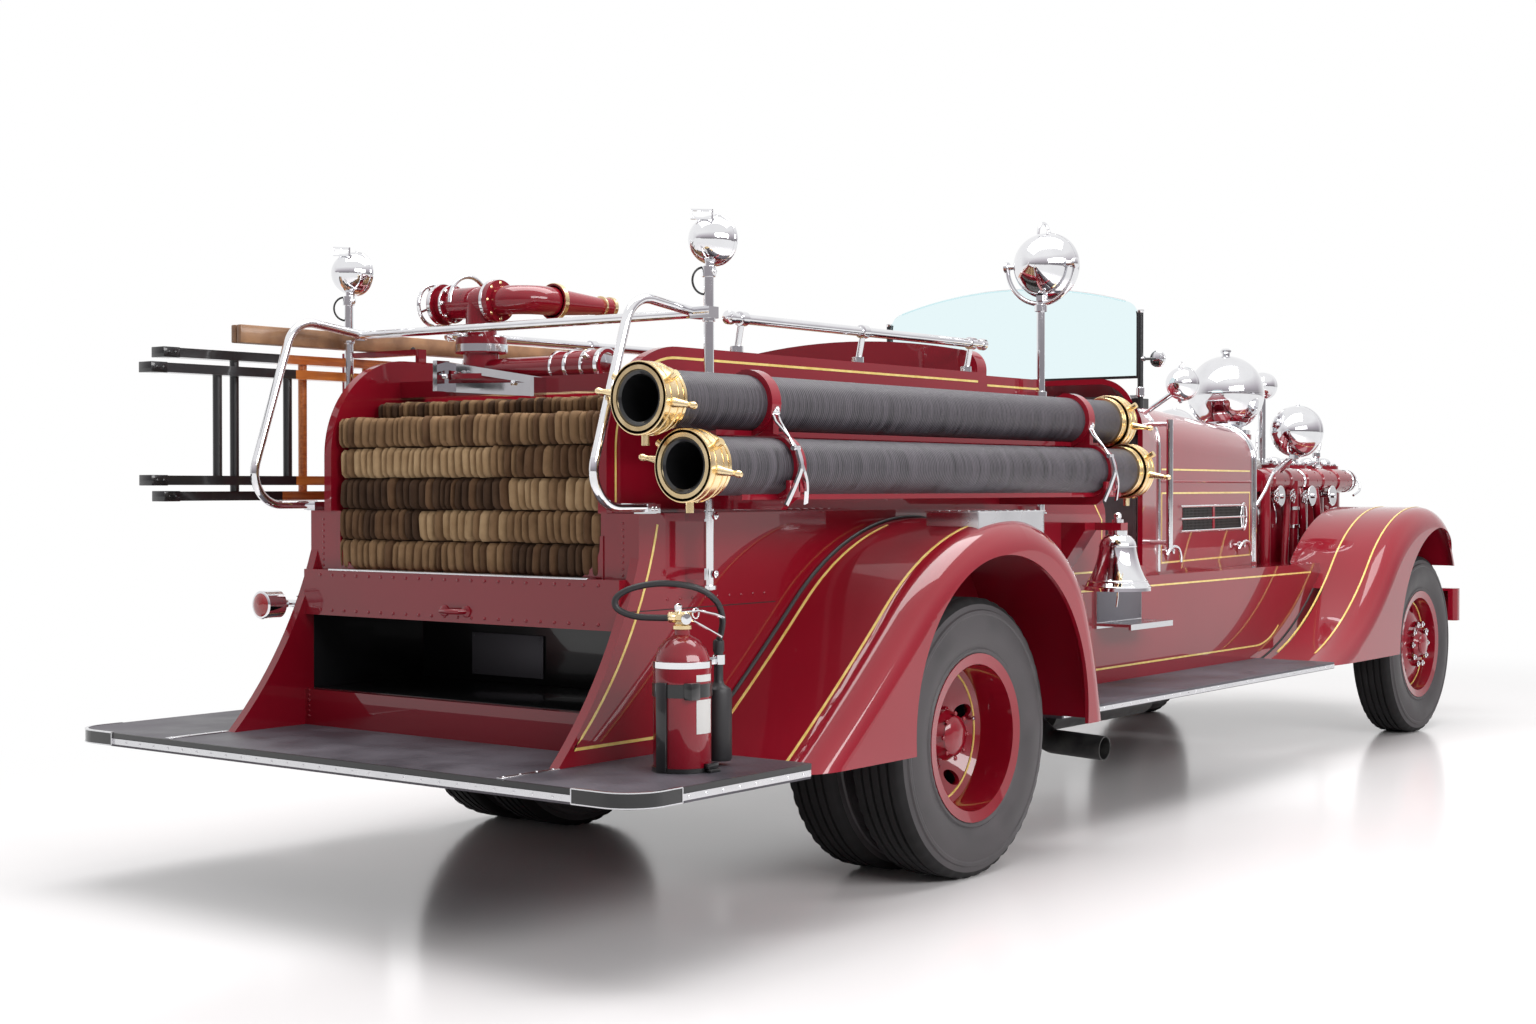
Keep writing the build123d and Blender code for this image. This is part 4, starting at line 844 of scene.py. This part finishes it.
BOTTLE = Vector((-1480, -1050, 0))
HORN_AT = (150, -15, 0)
BOTTLE_PROFILE = [(TIP, 530), (80, 530), (85, 540), (85, 830), (80, 858), (70, 884), (52, 908), (26, 922),
                  (23, 924), (23, 942), (TIP, 943)]
HORN_PROFILE = [(10, 902), (16, 898), (17, 890), (17, 868), (14, 862), (14, 780), (18, 768), (36, 756),
                (40, 742), (40, 552), (37, 544), (TIP, 543)]
HOSE_ROUTE = [(0, 0, 974), (-40, 48, 972), (-84, 110, 977), (-114, 150, 999), (-116, 152, 1030),
              (-88, 116, 1058), (-32, 48, 1072), (36, -26, 1058), (88, -56, 1018), (124, -50, 968),
              (144, -30, 925), (150, -15, 896)]
VALVE_PROFILE = [(22, 936), (28, 940), (28, 950), (22, 954), (21, 962), (25, 967), (25, 984), (20, 990)]


def extinguisher_gear():
    def at(x, y, z):
        return BOTTLE + Vector((x, y, z))

    bottle = Shape()
    lathe(bottle, BOTTLE_PROFILE, BOTTLE, UP, 64)
    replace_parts(bottle.place("extinguisher_bottle", RED, "red_paint"), "extinguisher")
    dark = Shape()
    collars(dark, BOTTLE, UP, ((530, 544, 84, 89), (746, 786, 83, 88)), 1, 48)
    for degrees, wide, low in ((178, 13, 534), (90, 12, 534), (-122, 18, 742)):
        a, b = math.cos(math.radians(degrees)), math.sin(math.radians(degrees))
        reach_x, reach_y = 5 + wide * abs(b), 5 + wide * abs(a)
        bar(dark, at(89 * a - reach_x, 89 * b - reach_y, low), at(89 * a + reach_x, 89 * b + reach_y, 790), 2)
    t = math.radians(-80)
    for low, high, reach in ((530, 540, 104), (540, 556, 97)):
        a, b = reach * math.cos(t), reach * math.sin(t)
        bar(dark, at(a - 24, b - 8, low), at(a + 24, b + 8, high), 2)
    dark.place("extinguisher_straps", BLACK, "black_paint")
    horn = Shape()
    lathe(horn, HORN_PROFILE, at(*HORN_AT), UP, 32)
    pipe(horn, smooth([at(*p) for p in HOSE_ROUTE], 6), 9.5, 12)
    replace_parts(horn.place("extinguisher_hose", HORN, "black_paint"), "extinguisher_horn")
    bright = Shape()
    collars(bright, BOTTLE, UP, [(828, 850, 82, 87)], 2, 48)
    collars(bright, at(*HORN_AT), UP, [(826, 858, 15, 20)], 2, 28)
    bar(bright, at(82, -24, 830), at(136, -14, 852), 1)
    lathe(bright, [(14, 0), (16, 3), (16, 9), (TIP, 10)], at(-10, -20, 970), (-0.5, -0.86, 0), 20)
    for radius, lever in ((8, ((0, 0, 988), (30, -40, 992), (58, -78, 982), (74, -98, 972))),
                          (7, ((6, -6, 976), (36, -44, 950), (72, -90, 916)))):
        pipe(bright, [at(*p) for p in lever], radius, 8, flat=0.6)
    lathe(bright, [(9, 988), (12, 994), (12, 1008), (6, 1014), (TIP, 1015)], at(-8, 8, 0), UP, 16)
    hoop(bright, at(20, -34, 986), 15, 2.5, 16, 8)
    bright.place("extinguisher_bands", CHROME, "chrome")
    brass = Shape()
    lathe(brass, VALVE_PROFILE, BOTTLE, UP, 28)
    lathe(brass, [(13, 16), (16, 20), (16, 38), (12, 42)], at(0, 0, 974), (-0.6, 0.8, 0), 20)
    brass.place("extinguisher_valve", BRASS, "brass")
    label = Shape()
    for low, high in ((642, 740), (792, 812)):
        turn = [math.radians(-112 + 4.4 * i) for i in range(11)]
        points = [at(85.9 * math.cos(w), 85.9 * math.sin(w), z) for w in turn for z in (low, high)]
        label.add(points, quads(11, 2))
    label.place("extinguisher_label", LABEL, "aluminium")


# Rear panel, painted shade in the locker, and fender plates

PANEL_X = -1387
LOCKER_LOW, LOCKER_HIGH = Vector((-1350, -717, 655)), Vector((-838, 717, 1030))


def rear_gear():
    red = Shape()
    for z in (1050, 930):
        row_of(rivet, red, (PANEL_X, -640, z), (0, 61, 0), 22, BACK, 6, 3.5)
    handle = ((-1386, -70), (-1412, -60), (-1420, -20), (-1412, 20), (-1386, 30))
    pipe(red, [(x, y, 949) for x, y in handle], 9)
    for y in (-70, 30):
        lathe(red, [(19, -1), (19, 4), (15, 6), (TIP, 7)], (PANEL_X, y, 949), BACK, 18)
    curve = [(600 - 74 * t ** 2.4, 1180 - 108 * t) for t in (0.25, 0.5, 0.75, 1)]
    gusset = [(612, 1200), (600, 1200), *curve, (526, BED_FLOOR), (612, BED_FLOOR)]
    count = len(gusset)
    ends = [tuple(range(count)), tuple(range(2 * count - 1, count - 1, -1))]
    seam = Shape()
    for s in (-1, 1):
        out = (0, s, 0)
        row_of(rivet, red, (PANEL_X, s * 700, 560), (0, 0, 18), 6, BACK, 6, 3)
        row_of(rivet, red, (-1330, s * 690, 1080), (0, 0, 20), 9, BACK, 5, 3)
        row_of(rivet, red, (1040, s * APRON_Y, 930), (110, 0, 0), 12, out, 5, 2.5)
        row_of(rivet, red, (-1195, s * PILLAR_Y, 1003), (62, 0, 0), 9, out, 5.5, 3)
        points = [(x, s * y, z) for x in (-1334, -1328) for y, z in gusset]
        red.add(points, quads(2, count, True) + ends)
        ribbon(seam, on_side([(-1395, 972), (-640, 972)], s * PILLAR_Y), out, 3, 0.8, 1)
    red.place("rivets", RED, "red_paint")
    seam.place("side_seams", WELT, "black_paint")
    lip = Shape()
    bar(lip, (-1391, -596, 1066), (-1346, 596, 1072), 2)
    lip.place("bed_lip", ALUMINIUM, "aluminium")
    plate = Shape()
    bar(plate, (-846, 105, 680), (-840, 455, 830), 1.5)
    for z in (692, 818):
        row_of(rivet, plate, (-846, 120, z), (0, 320, 0), 2, BACK, 5, 3)
    plate.place("number_plate", PLATE, "black_paint")
    # Black sheets just inside the locker's floor, back, sides and roof: painted shade for the dark inside of
    # the locker
    locker_shade = Shape()
    low, high = LOCKER_LOW, LOCKER_HIGH
    bar(locker_shade, (low.x, low.y, low.z - 2), (high.x, high.y, low.z), 0.4)
    bar(locker_shade, (high.x, low.y, low.z), (high.x + 2, high.y, high.z), 0.4)
    bar(locker_shade, (low.x, low.y - 2, low.z), (high.x, low.y, high.z), 0.4)
    bar(locker_shade, (low.x, high.y, low.z), (high.x, high.y + 2, high.z), 0.4)
    bar(locker_shade, (low.x, low.y, high.z + 1), (high.x, high.y, high.z + 3), 0.4)
    locker_shade.place("locker_painted_shade", BLACK, "black_paint")


def fender_plates():
    """Raised bright step plates over the crests of the rear fenders."""
    inner, outer = 966, 1184
    bright = Shape()
    crest = max(REAR_FENDER, key=lambda p: p.y)
    top = crest.y + 28
    part = [p for p in REAR_FENDER if abs(p.x - crest.x) < 250]
    first, last = part[0].x, part[-1].x
    n = len(part)
    for s in (-1, 1):
        bar(bright, (first - 8, s * inner, top - 4), (last + 8, s * outer, top), 1.5)
        for y, sink in ((outer - 4, 15), (inner + 8, 6)):
            rows = [[(p.x, s * (y - a), top - 1 if high else p.y - sink) for p in part]
                    for a, high in ((0, False), (0, True), (4, True), (4, False))]
            ends = [(0, n, 2 * n, 3 * n), (n - 1, 2 * n - 1, 3 * n - 1, 4 * n - 1)]
            bright.add([p for row in rows for p in row], quads(4, n, closed=True) + ends)
        for p in (part[0], part[-1]):
            bar(bright, (p.x - 3, s * (inner + 4), p.y - 12), (p.x + 3, s * (outer - 4), top - 1), 1)
        for y in (1000, 1040, 1080, 1120, 1160):
            row_of(rivet, bright, (first + 30, s * y, top), ((last - first - 60) / 8, 0, 0), 9, UP, 9, 2.5)
    bright.place("fender_plates", ALUMINIUM, "aluminium")


# Hood trim

HANDLES = ((2640, 1052), (3700, 1052))
HANDLE_CURL = [(-62, 26, -16), (-40, 34, 10), (0, 34, 22), (46, 34, 12), (78, 30, -22), (84, 28, -52)]
VENT_X, VENT_Z, BADGE_X = (2846, 3740), 1199, 3752
HOOD_ENDS = ((2518, 585, 1740, 200), (3938, 430, 1672, 190))          # x, half width, top, corner radius


def hood_gear():
    for side, s in SIDES:
        chrome = Shape()
        mesh = Shape()
        red = Shape()

        def on_hood(places, off=0):
            return [(x, s * (hood_y(x) + off), z) for x, z in places]

        way = (0.11, s, 0)
        ribbon(mesh, on_hood([(x, VENT_Z) for x in VENT_X]), way, 116, 1.2, 2)
        for i in range(46):
            x = 2856 + 19.4 * i
            ribbon(mesh, on_hood([(x, 1144), (x, 1254)]), way, 4, 3.2, 2, tone=1)
        for z in (1156, 1170, 1184, 1214, 1228, 1242):
            ribbon(mesh, on_hood([(2850, z), (3736, z)]), way, 3, 2.8, 2, tone=1)
        ribbon(red, on_hood([(3290, 1141), (3290, 1257)]), way, 30, 5, 2)
        pipe(red, on_hood([(2540, 1377), (3890, 1377)], 1), 6, 8)
        for z in (1140, VENT_Z, 1258):
            pipe(chrome, on_hood([(2806, z), (3770, z)], 5), 6.5)
        badge = [(BADGE_X + 44 * math.cos(t), VENT_Z + 68 * math.sin(t)) for t in angles(28)]
        pipe(chrome, on_hood(badge, 7), 6, closed=True)
        pipe(chrome, on_hood([(BADGE_X, 1134), (BADGE_X, 1264)], 6), 5, 8)
        for x, z in HANDLES:
            boss = [(22, -1), (22, 4), (11, 8), (10, 30), (12, 34), (TIP, 36)]
            lathe(chrome, boss, (x, s * hood_y(x), z), (0, s, 0), 18)
            pipe(chrome, smooth([(x + a, s * (hood_y(x) + b), z + c) for a, b, c in HANDLE_CURL], 5), 8)
        mesh.place("hood_vent_" + side, [GRILLE, STEEL], "black_paint", "hood_" + side)
        red.place("hood_moulding_" + side, RED, "red_paint", "hood_" + side)
        chrome.place("hood_trim_" + side, CHROME, "chrome", "hood_" + side)
    bead = Shape()
    for x, half, top, corner in HOOD_ENDS:
        slant = corner * 0.2929
        bend = three_point((half, top - corner), (half - slant, top - slant), (half - corner, top), 10)
        line = [(half, 960)] + [tuple(p) for p in bend]
        line += [(-y, z) for y, z in reversed(line)]
        pipe(bead, [(x, y * 1.004, z + 2) for y, z in line], 9)
    bead.place("hood_beads", CHROME, "chrome")


# Pump, dome and bell

DOME_X, MANIFOLD_Y, MANIFOLD_Z, OUTLET_Z = 4530, 240, 1385, 1300
BELL_AT = (1610, -850, 0)


def pump_side(chrome, s):
    """Fittings on one side of the pump."""
    out = (0, s, 0)
    for x in (4560, 5000, 5300):
        hoop(chrome, (x, s * 308, OUTLET_Z), 52, 8, 30, 10)
        lathe(chrome, [(14, 0), (14, 10), (8, 14), (TIP, 15)], (x, s * 316, OUTLET_Z), out, 16)
    bands = [(x - 12, x + 12, 64, 67) for x in (4560, 4920, 5280, 5640)]
    collars(chrome, (0, s * MANIFOLD_Y, MANIFOLD_Z), AHEAD, bands, 3, 36)
    bands = [(a, b, 99, 107) for a, b in ((330, 340), (350, 356), (366, 374))]
    collars(chrome, (5250, 0, 1000), out, bands, 2, 40)
    for t in (0.5, 2.6, 4.7):
        lug = [(12, 96), (12, 124), (8, 130), (TIP, 131)]
        lathe(chrome, lug, (5250, s * 352, 1000), (math.cos(t), 0, math.sin(t)), 14)
    ring_of(rivet, chrome, (5745, s * MANIFOLD_Y, MANIFOLD_Z), AHEAD, 12, 4, 4, 3)
    collars(chrome, (4780, s * 292, 0), UP, [(z, z + 23, 30, 34) for z in (1120, 1220)], 3)
    x, y = 5340, s * 196
    stem = [(26, 1440), (30, 1446), (30, 1470), (20, 1478), (18, 1520), (24, 1526), (24, 1548), (12, 1556),
            (TIP, 1558)]
    lathe(chrome, stem, (x, y, 0), UP, 24)
    collars(chrome, (x, y, 1500), AHEAD, [(-44, 44, 15, 18)], 4, 20)
    pipe(chrome, smooth([(x + a, y, z) for a, z in ((20, 1548), (52, 1580), (60, 1640), (84, 1690))], 4), 8)
    for x, z in ((4470, 1300), (4690, 1300), (4860, 1292)):
        for t in angles(5):
            hoop(chrome, (x + 22 * math.cos(t), s * 326, z + 22 * math.sin(t)), 15, 4.5, 12, 6)
        lathe(chrome, [(10, 288), (10, 322), (14, 324), (14, 334), (TIP, 338)], (x, 0, z), out, 16)
    for thick, line in ((9, ((4260, 300, 1250), (4330, 318, 1330), (4450, 316, 1430), (4600, 330, 1500))),
                        (7, ((5745, 250, 1420), (5735, 300, 1380), (5700, 318, 1330), (5620, 312, 1300)))):
        pipe(chrome, smooth([(x, s * y, z) for x, y, z in line], 6), thick)


def pump_gear():
    chrome = Shape()
    for x in (4900, 5140, 5380, 5620):
        for y in (-125, 125):
            ring_of(nut, chrome, (x, y, 1474), UP, 70, 6, 11, 9)
            cover = [(42, 1476), (44, 1482), (44, 1498), (34, 1512), (14, 1520), (TIP, 1521)]
            lathe(chrome, cover, (x, y, 0), UP, 24)
    ring_of(nut, chrome, (DOME_X, 0, 1640), UP, 126, 10, 11, 9)
    collars(chrome, (DOME_X, 0, 0), UP, [(1862, 1874, 208, 212)], 2, 64)
    lathe(chrome, [(24, 2092), (30, 2098), (30, 2108), (18, 2118), (TIP, 2120)], (DOME_X, 0, 0), UP, 24)
    bands = [(x, x + 20, 236, 243) for x in (4180, 4420, 4660)]
    collars(chrome, (0, 0, 1180), AHEAD, bands, 3, 64)
    red = Shape()
    for s in (-1, 1):
        pump_side(chrome, s)
        for x in (4560, 4790, 5020, 5250, 5480):
            collars(red, (x, s * MANIFOLD_Y, MANIFOLD_Z), AHEAD, [(-70, 70, 60, 70)], 10, 32)
            ring_of(nut, red, (x + 70, s * MANIFOLD_Y, MANIFOLD_Z), AHEAD, 62, 8, 9, 7)
        for x in (4860, 5080):
            drop = [(x, s * 292, 1340), (x, s * 306, 1240), (x + 30, s * 300, 1120), (x + 30, s * 290, 905)]
            pipe(red, smooth(drop, 6), 22, 14)
    chrome.place("pump_trim", CHROME, "chrome")
    red.place("pump_covers", RED, "red_paint")
    dial = Shape()
    for y in (-70, 70):
        face = [(48, -34), (52, -30), (52, 0), (47, 4), (TIP, 4.4)]
        lathe(dial, face, (4715, y, 1478), (-0.5, 0, 0.86), 32)
    dial.place("pump_gauges", LABEL, "aluminium")
    bell_trim = Shape()
    bands = ((932, 940, 134, 141), (956, 964, 121, 128), (1100, 1108, 73, 80))
    collars(bell_trim, BELL_AT, UP, bands, 2, 48)
    pipe(bell_trim, [(1610, -850, 982), (1610, -850, 940), (1610, -850, 890), (1606, -846, 850)], 4, 8)
    bell_trim.place("bell_trim", CHROME, "chrome")


# Seat and cab fittings

SEAT_WIDTH, PLEATS = 1196, 20
POST_AT = (2170, 669)
DASH_X, DASH_Z, DIALS_Y = 2336, 1690, (-330, -165, 0, 165, 330)


def pleated(shape, origin, along, rise, depth, height):
    """Crowned pad on a flat base, sewn into pleats that run along it."""
    rows, cols = PLEATS * 6 + 1, 17
    o, a, b, n = Vector(origin), Vector((0, 1, 0)), Vector(along).normalized(), Vector(rise).normalized()
    points = []
    for i in range(rows):
        u = 2 * i / (rows - 1) - 1
        for j in range(cols):
            v = 2 * j / (cols - 1) - 1
            edge = max(0.0, 1 - abs(u) ** 16) ** 0.5 * max(0.0, 1 - abs(v) ** 8) ** 0.5
            sewn = 9 * (1 - abs(math.sin(math.pi * PLEATS * (u + 1) / 2)) ** 0.6)
            lift = max(0.0, height * (0.35 + 0.65 * edge) - sewn * edge)
            points.append(o + a * (u * SEAT_WIDTH / 2) + b * (v * depth / 2) + n * lift)
    faces = backed(points, rows, cols, lambda p: p - n * (p - o).dot(n))
    shape.add(points, faces)


def cab_gear():
    seat = Shape()
    pleated(seat, (1275, 0, 1181), AHEAD, UP, 768, 122)
    pleated(seat, (905, 0, 1520), (-80, 0, 440), (440, 0, 80), 440, 130)
    bar(seat, (888, -598, 1182), (960, 598, 1735), 8)
    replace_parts(seat.place("bench_seat", LEATHER, "leather", crease=50), "seat")
    liner = Shape()
    bar(liner, (2494, -540, 990), (2499, 540, 1590), 1.5)
    for y in (-480, -240, 0, 240, 480):
        bar(liner, (2490, y - 8, 1000), (2496, y + 8, 1580), 2)
    bar(liner, (DASH_X, -588, 1612), (2344, 588, 1768), 2)
    liner.place("firewall", LINER, "aluminium")
    dials = Shape()
    bezels = Shape()
    for y in DIALS_Y:
        lathe(dials, [(46, -1), (50, 6), (46, 10), (TIP, 10.5)], (DASH_X, y, DASH_Z), BACK, 32)
        lathe(bezels, [(48, 0), (54, 4), (53, 12), (48, 13)], (DASH_X, y, DASH_Z), BACK, 32, closed=True)
    for y in (210, 330, 450):
        pipe(bezels, [(2420, y, 1010), (2360, y, 1050), (2330, y, 1090)], 8, 8)
        bar(bezels, (2312, y - 30, 1080), (2330, y + 30, 1120), 4)
    pipe(bezels, [(2120, 60, 990), (2110, 60, 1100), (2060, 60, 1330)], 10)
    lathe(bezels, [(8, 0), (22, 14), (24, 26), (16, 40), (TIP, 44)], (2060, 60, 1322), (-0.2, 0, 1), 20)
    pipe(bezels, [(2170, -60, 990), (2160, -60, 1080), (2110, -60, 1260)], 9)
    dials.place("dash_dials", PLATE, "black_paint")
    bezels.place("cab_controls", CHROME, "chrome")
    edge = Shape()
    pipe(edge, [(POST_AT[0], *p) for p in three_point((-595, 2179), (0, 2261), (595, 2179), 30)], 4.2, 8)
    scuff = Shape()
    mirror = Shape()
    disc = [(TIP, 2196), (30, 2196), (37, 2201), (37, 2210), (32, 2214), (TIP, 2215)]
    lathe(mirror, disc, (0, -735, 1919), AHEAD)
    for s in (-1, 1):
        bar(scuff, (1803, s * 651, 767), (2217, s * 653.5, SHELF_TOP - 4), 0.8)
        for z in (784, SHELF_TOP - 20):
            row_of(rivet, scuff, (1818, s * 653.5, z), (384, 0, 0), 2, (0, s, 0), 5, 2)
        x, y = POST_AT[0], s * POST_AT[1]
        collars(mirror, (x, y, 0), UP, [(1752, 1794, 14, 18)], 4, 20)
        lathe(mirror, [(13.5, 2124), (16, 2128), (16, 2136), (TIP, 2138)], (x, y, 0), UP, 20)
        pipe(mirror, [(x, y, 1919), (x, y + s * 21, 1919)], 11)
    scuff.place("scuff_plates", PLATE, "aluminium")
    edge.place("windshield_edge", GLASS, "glass")
    mirror.place("windshield_fittings", CHROME, "chrome")


# Ladder irons, rack bolts and the folded ladder

def ladder_gear():
    iron = Shape()
    for rear, y0, y1, z0, z1 in ((-1770, 980, 1045, 1304, 1826), (-1875, 905, 970, 1358, 1768)):
        for z in (z0, z1 - 32):
            bar(iron, (rear - 6, y0 - 2, z - 2), (rear + 60, y1 + 2, z + 34), 2)
            for y, way in ((y0 - 2, (0, -1, 0)), (y1 + 2, (0, 1, 0))):
                row_of(rivet, iron, (rear + 16, y, z + 16), (26, 0, 0), 2, way, 5, 3)
    iron.place("ladder_irons", BLACK, "black_paint")
    bolts = Shape()
    for x in (-900, 640):
        for z in (1310, 1500, 1700, 1820):
            nut(bolts, (x, 1064, z), (0, 1, 0), 10, 7)
        for y in (700, 900):
            nut(bolts, (x, y, 1850), UP, 9, 7)
    for x in RACK_X:
        for y in (-700, -900, -1060):
            nut(bolts, (x - 14, y, 1330), BACK, 9, 7)
    bolts.place("rack_bolts", STEEL, "dark_steel")
    old = Shape()
    for y0, y1 in ((880, 902), (910, 932)):
        bar(old, (-1532, y0 - 1, 1850.2), (422, y1 + 1, 1913), 4)
    for x in (-1400, -700, 0, 340):
        bar(old, (x - 31, 889, 1859), (x + 31, 923, 1901), 3)
    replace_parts(old.place("folded_ladder", WEATHERED, "wood"), "ladder_folded")


for build in (stripes, wheels, hose_pack, step_trim, hose_gear, lamp_gear, gun_gear, extinguisher_gear,
              rear_gear, fender_plates, hood_gear, pump_gear, cab_gear, ladder_gear):
    build()


# Stage, light and camera

def emitter(name, where, target, size_x, size_y, power):
    data = bpy.data.lights.new(name, "AREA")
    data.shape = "RECTANGLE"
    data.size = size_x
    data.size_y = size_y
    data.energy = power
    lamp = bpy.data.objects.new(name, data)
    bpy.context.collection.objects.link(lamp)
    lamp.location = where
    lamp.rotation_euler = (Vector(target) - Vector(where)).to_track_quat("-Z", "Y").to_euler()


def studio_floor():
    """Pale floor that keeps the shadow near the object and fades to white around it."""
    reach = 80
    mesh = bpy.data.meshes.new("floor")
    corners = [(a * reach, b * reach, 0) for a, b in ((-1, -1), (1, -1), (1, 1), (-1, 1))]
    mesh.from_pydata(corners, [], [(0, 1, 2, 3)])
    floor = bpy.data.objects.new("floor", mesh)
    bpy.context.collection.objects.link(floor)
    mat = surface("studio_floor", (0.90, 0.875, 0.88), 0.16, spec=0.35)
    tree = mat.node_tree
    oval = node(tree, "VectorMath", {0: object_place(tree), 1: (0.52, 1.0, 1.0)}, operation="MULTIPLY")
    length = node(tree, "VectorMath", {0: oval.outputs["Vector"]}, operation="LENGTH")
    fade = node(tree, "MapRange", {"Value": length.outputs["Value"], "From Min": 2.3, "From Max": 4.6},
                interpolation_type="SMOOTHSTEP")
    glow = node(tree, "Emission", {"Strength": 1.0})
    mix = node(tree, "MixShader", {"Fac": fade.outputs["Result"], 2: glow.outputs["Emission"],
                                   1: tree.nodes["Principled BSDF"].outputs["BSDF"]})
    feed(tree, tree.nodes["Material Output"].inputs["Surface"], mix.outputs["Shader"])
    mesh.materials.append(mat)


def studio_world():
    """White to the camera, softer as a light; reflections see a bright far side and a dim near wall."""
    white = (1.0, 1.0, 1.0, 1.0)
    world = bpy.data.worlds.new("studio")
    bpy.context.scene.world = world
    world.use_nodes = True
    tree = world.node_tree
    path = node(tree, "LightPath").outputs
    way = node(tree, "TexCoord").outputs["Generated"]
    back = tree.nodes["Background"]
    feed(tree, back.inputs["Color"], white)
    feed(tree, back.inputs["Strength"], 1.0)
    soft = node(tree, "Background", {"Color": (1.0, 0.99, 0.985, 1.0), "Strength": 0.38})
    height = node(tree, "SeparateXYZ", {"Vector": way}).outputs["Z"]
    shades = [(0.02, (0.25, 0.235, 0.25)), (0.25, (0.56, 0.52, 0.56)), (0.55, white[:3])]
    near_wall = ramp(tree, height, shades)
    far_side = node(tree, "VectorMath", {0: way, 1: (0.62, 0.78, 0.0)}, operation="DOT_PRODUCT")
    bright = node(tree, "MapRange", {"Value": far_side.outputs["Value"], "From Min": -0.1, "From Max": 0.6})
    blend = node(tree, "Mix", {"Factor": bright.outputs["Result"], "A": near_wall, "B": white},
                 data_type="RGBA")
    room = node(tree, "Background", {"Color": blend.outputs["Result"]})
    glossy = node(tree, "MixShader", {"Fac": path["Is Glossy Ray"], 1: soft.outputs["Background"],
                                      2: room.outputs["Background"]})
    seen = node(tree, "Math", {0: path["Is Camera Ray"], 1: path["Is Transmission Ray"]}, operation="MAXIMUM")
    mix = node(tree, "MixShader", {"Fac": seen.outputs["Value"], 1: glossy.outputs["Shader"],
                                   2: back.outputs["Background"]})
    feed(tree, tree.nodes["World Output"].inputs["Surface"], mix.outputs["Shader"])


# Camera: place in metres from the rear axle, turn and dip in degrees, focal length in pixels of the picture

CAMERA_AT, CAMERA_TURN, CAMERA_DIP = (-6.0316, -4.8131, 1.3535), 37.168, 0.7215
FOCAL_PX, PICTURE_PX, SENSOR = 2035.1, 1536.0, 36.0


def photo_camera():
    data = bpy.data.cameras.new("camera")
    data.sensor_width = SENSOR
    data.lens = SENSOR * FOCAL_PX / PICTURE_PX
    camera = bpy.data.objects.new("camera", data)
    bpy.context.collection.objects.link(camera)
    bpy.context.scene.camera = camera
    turn, dip = math.radians(CAMERA_TURN), math.radians(CAMERA_DIP)
    ahead = Vector((math.cos(turn) * math.cos(dip), math.sin(turn) * math.cos(dip), -math.sin(dip)))
    right = Vector((math.sin(turn), -math.cos(turn), 0.0))
    up = right.cross(ahead)
    at = Vector(CAMERA_AT) - Vector((MID_X, 0, 0))
    camera.matrix_world = Matrix([(right[i], up[i], -ahead[i], at[i]) for i in range(3)] + [(0, 0, 0, 1)])


studio_floor()
studio_world()
emitter("overhead", (-1.0, -0.5, 7.5), (-0.5, 0, 0), 9.0, 5.0, 780.0)
emitter("side", (-3.0, -8.0, 4.2), (0.0, 0, 0.9), 8.0, 2.0, 460.0)
photo_camera()
bpy.context.scene.view_settings.view_transform = "Standard"
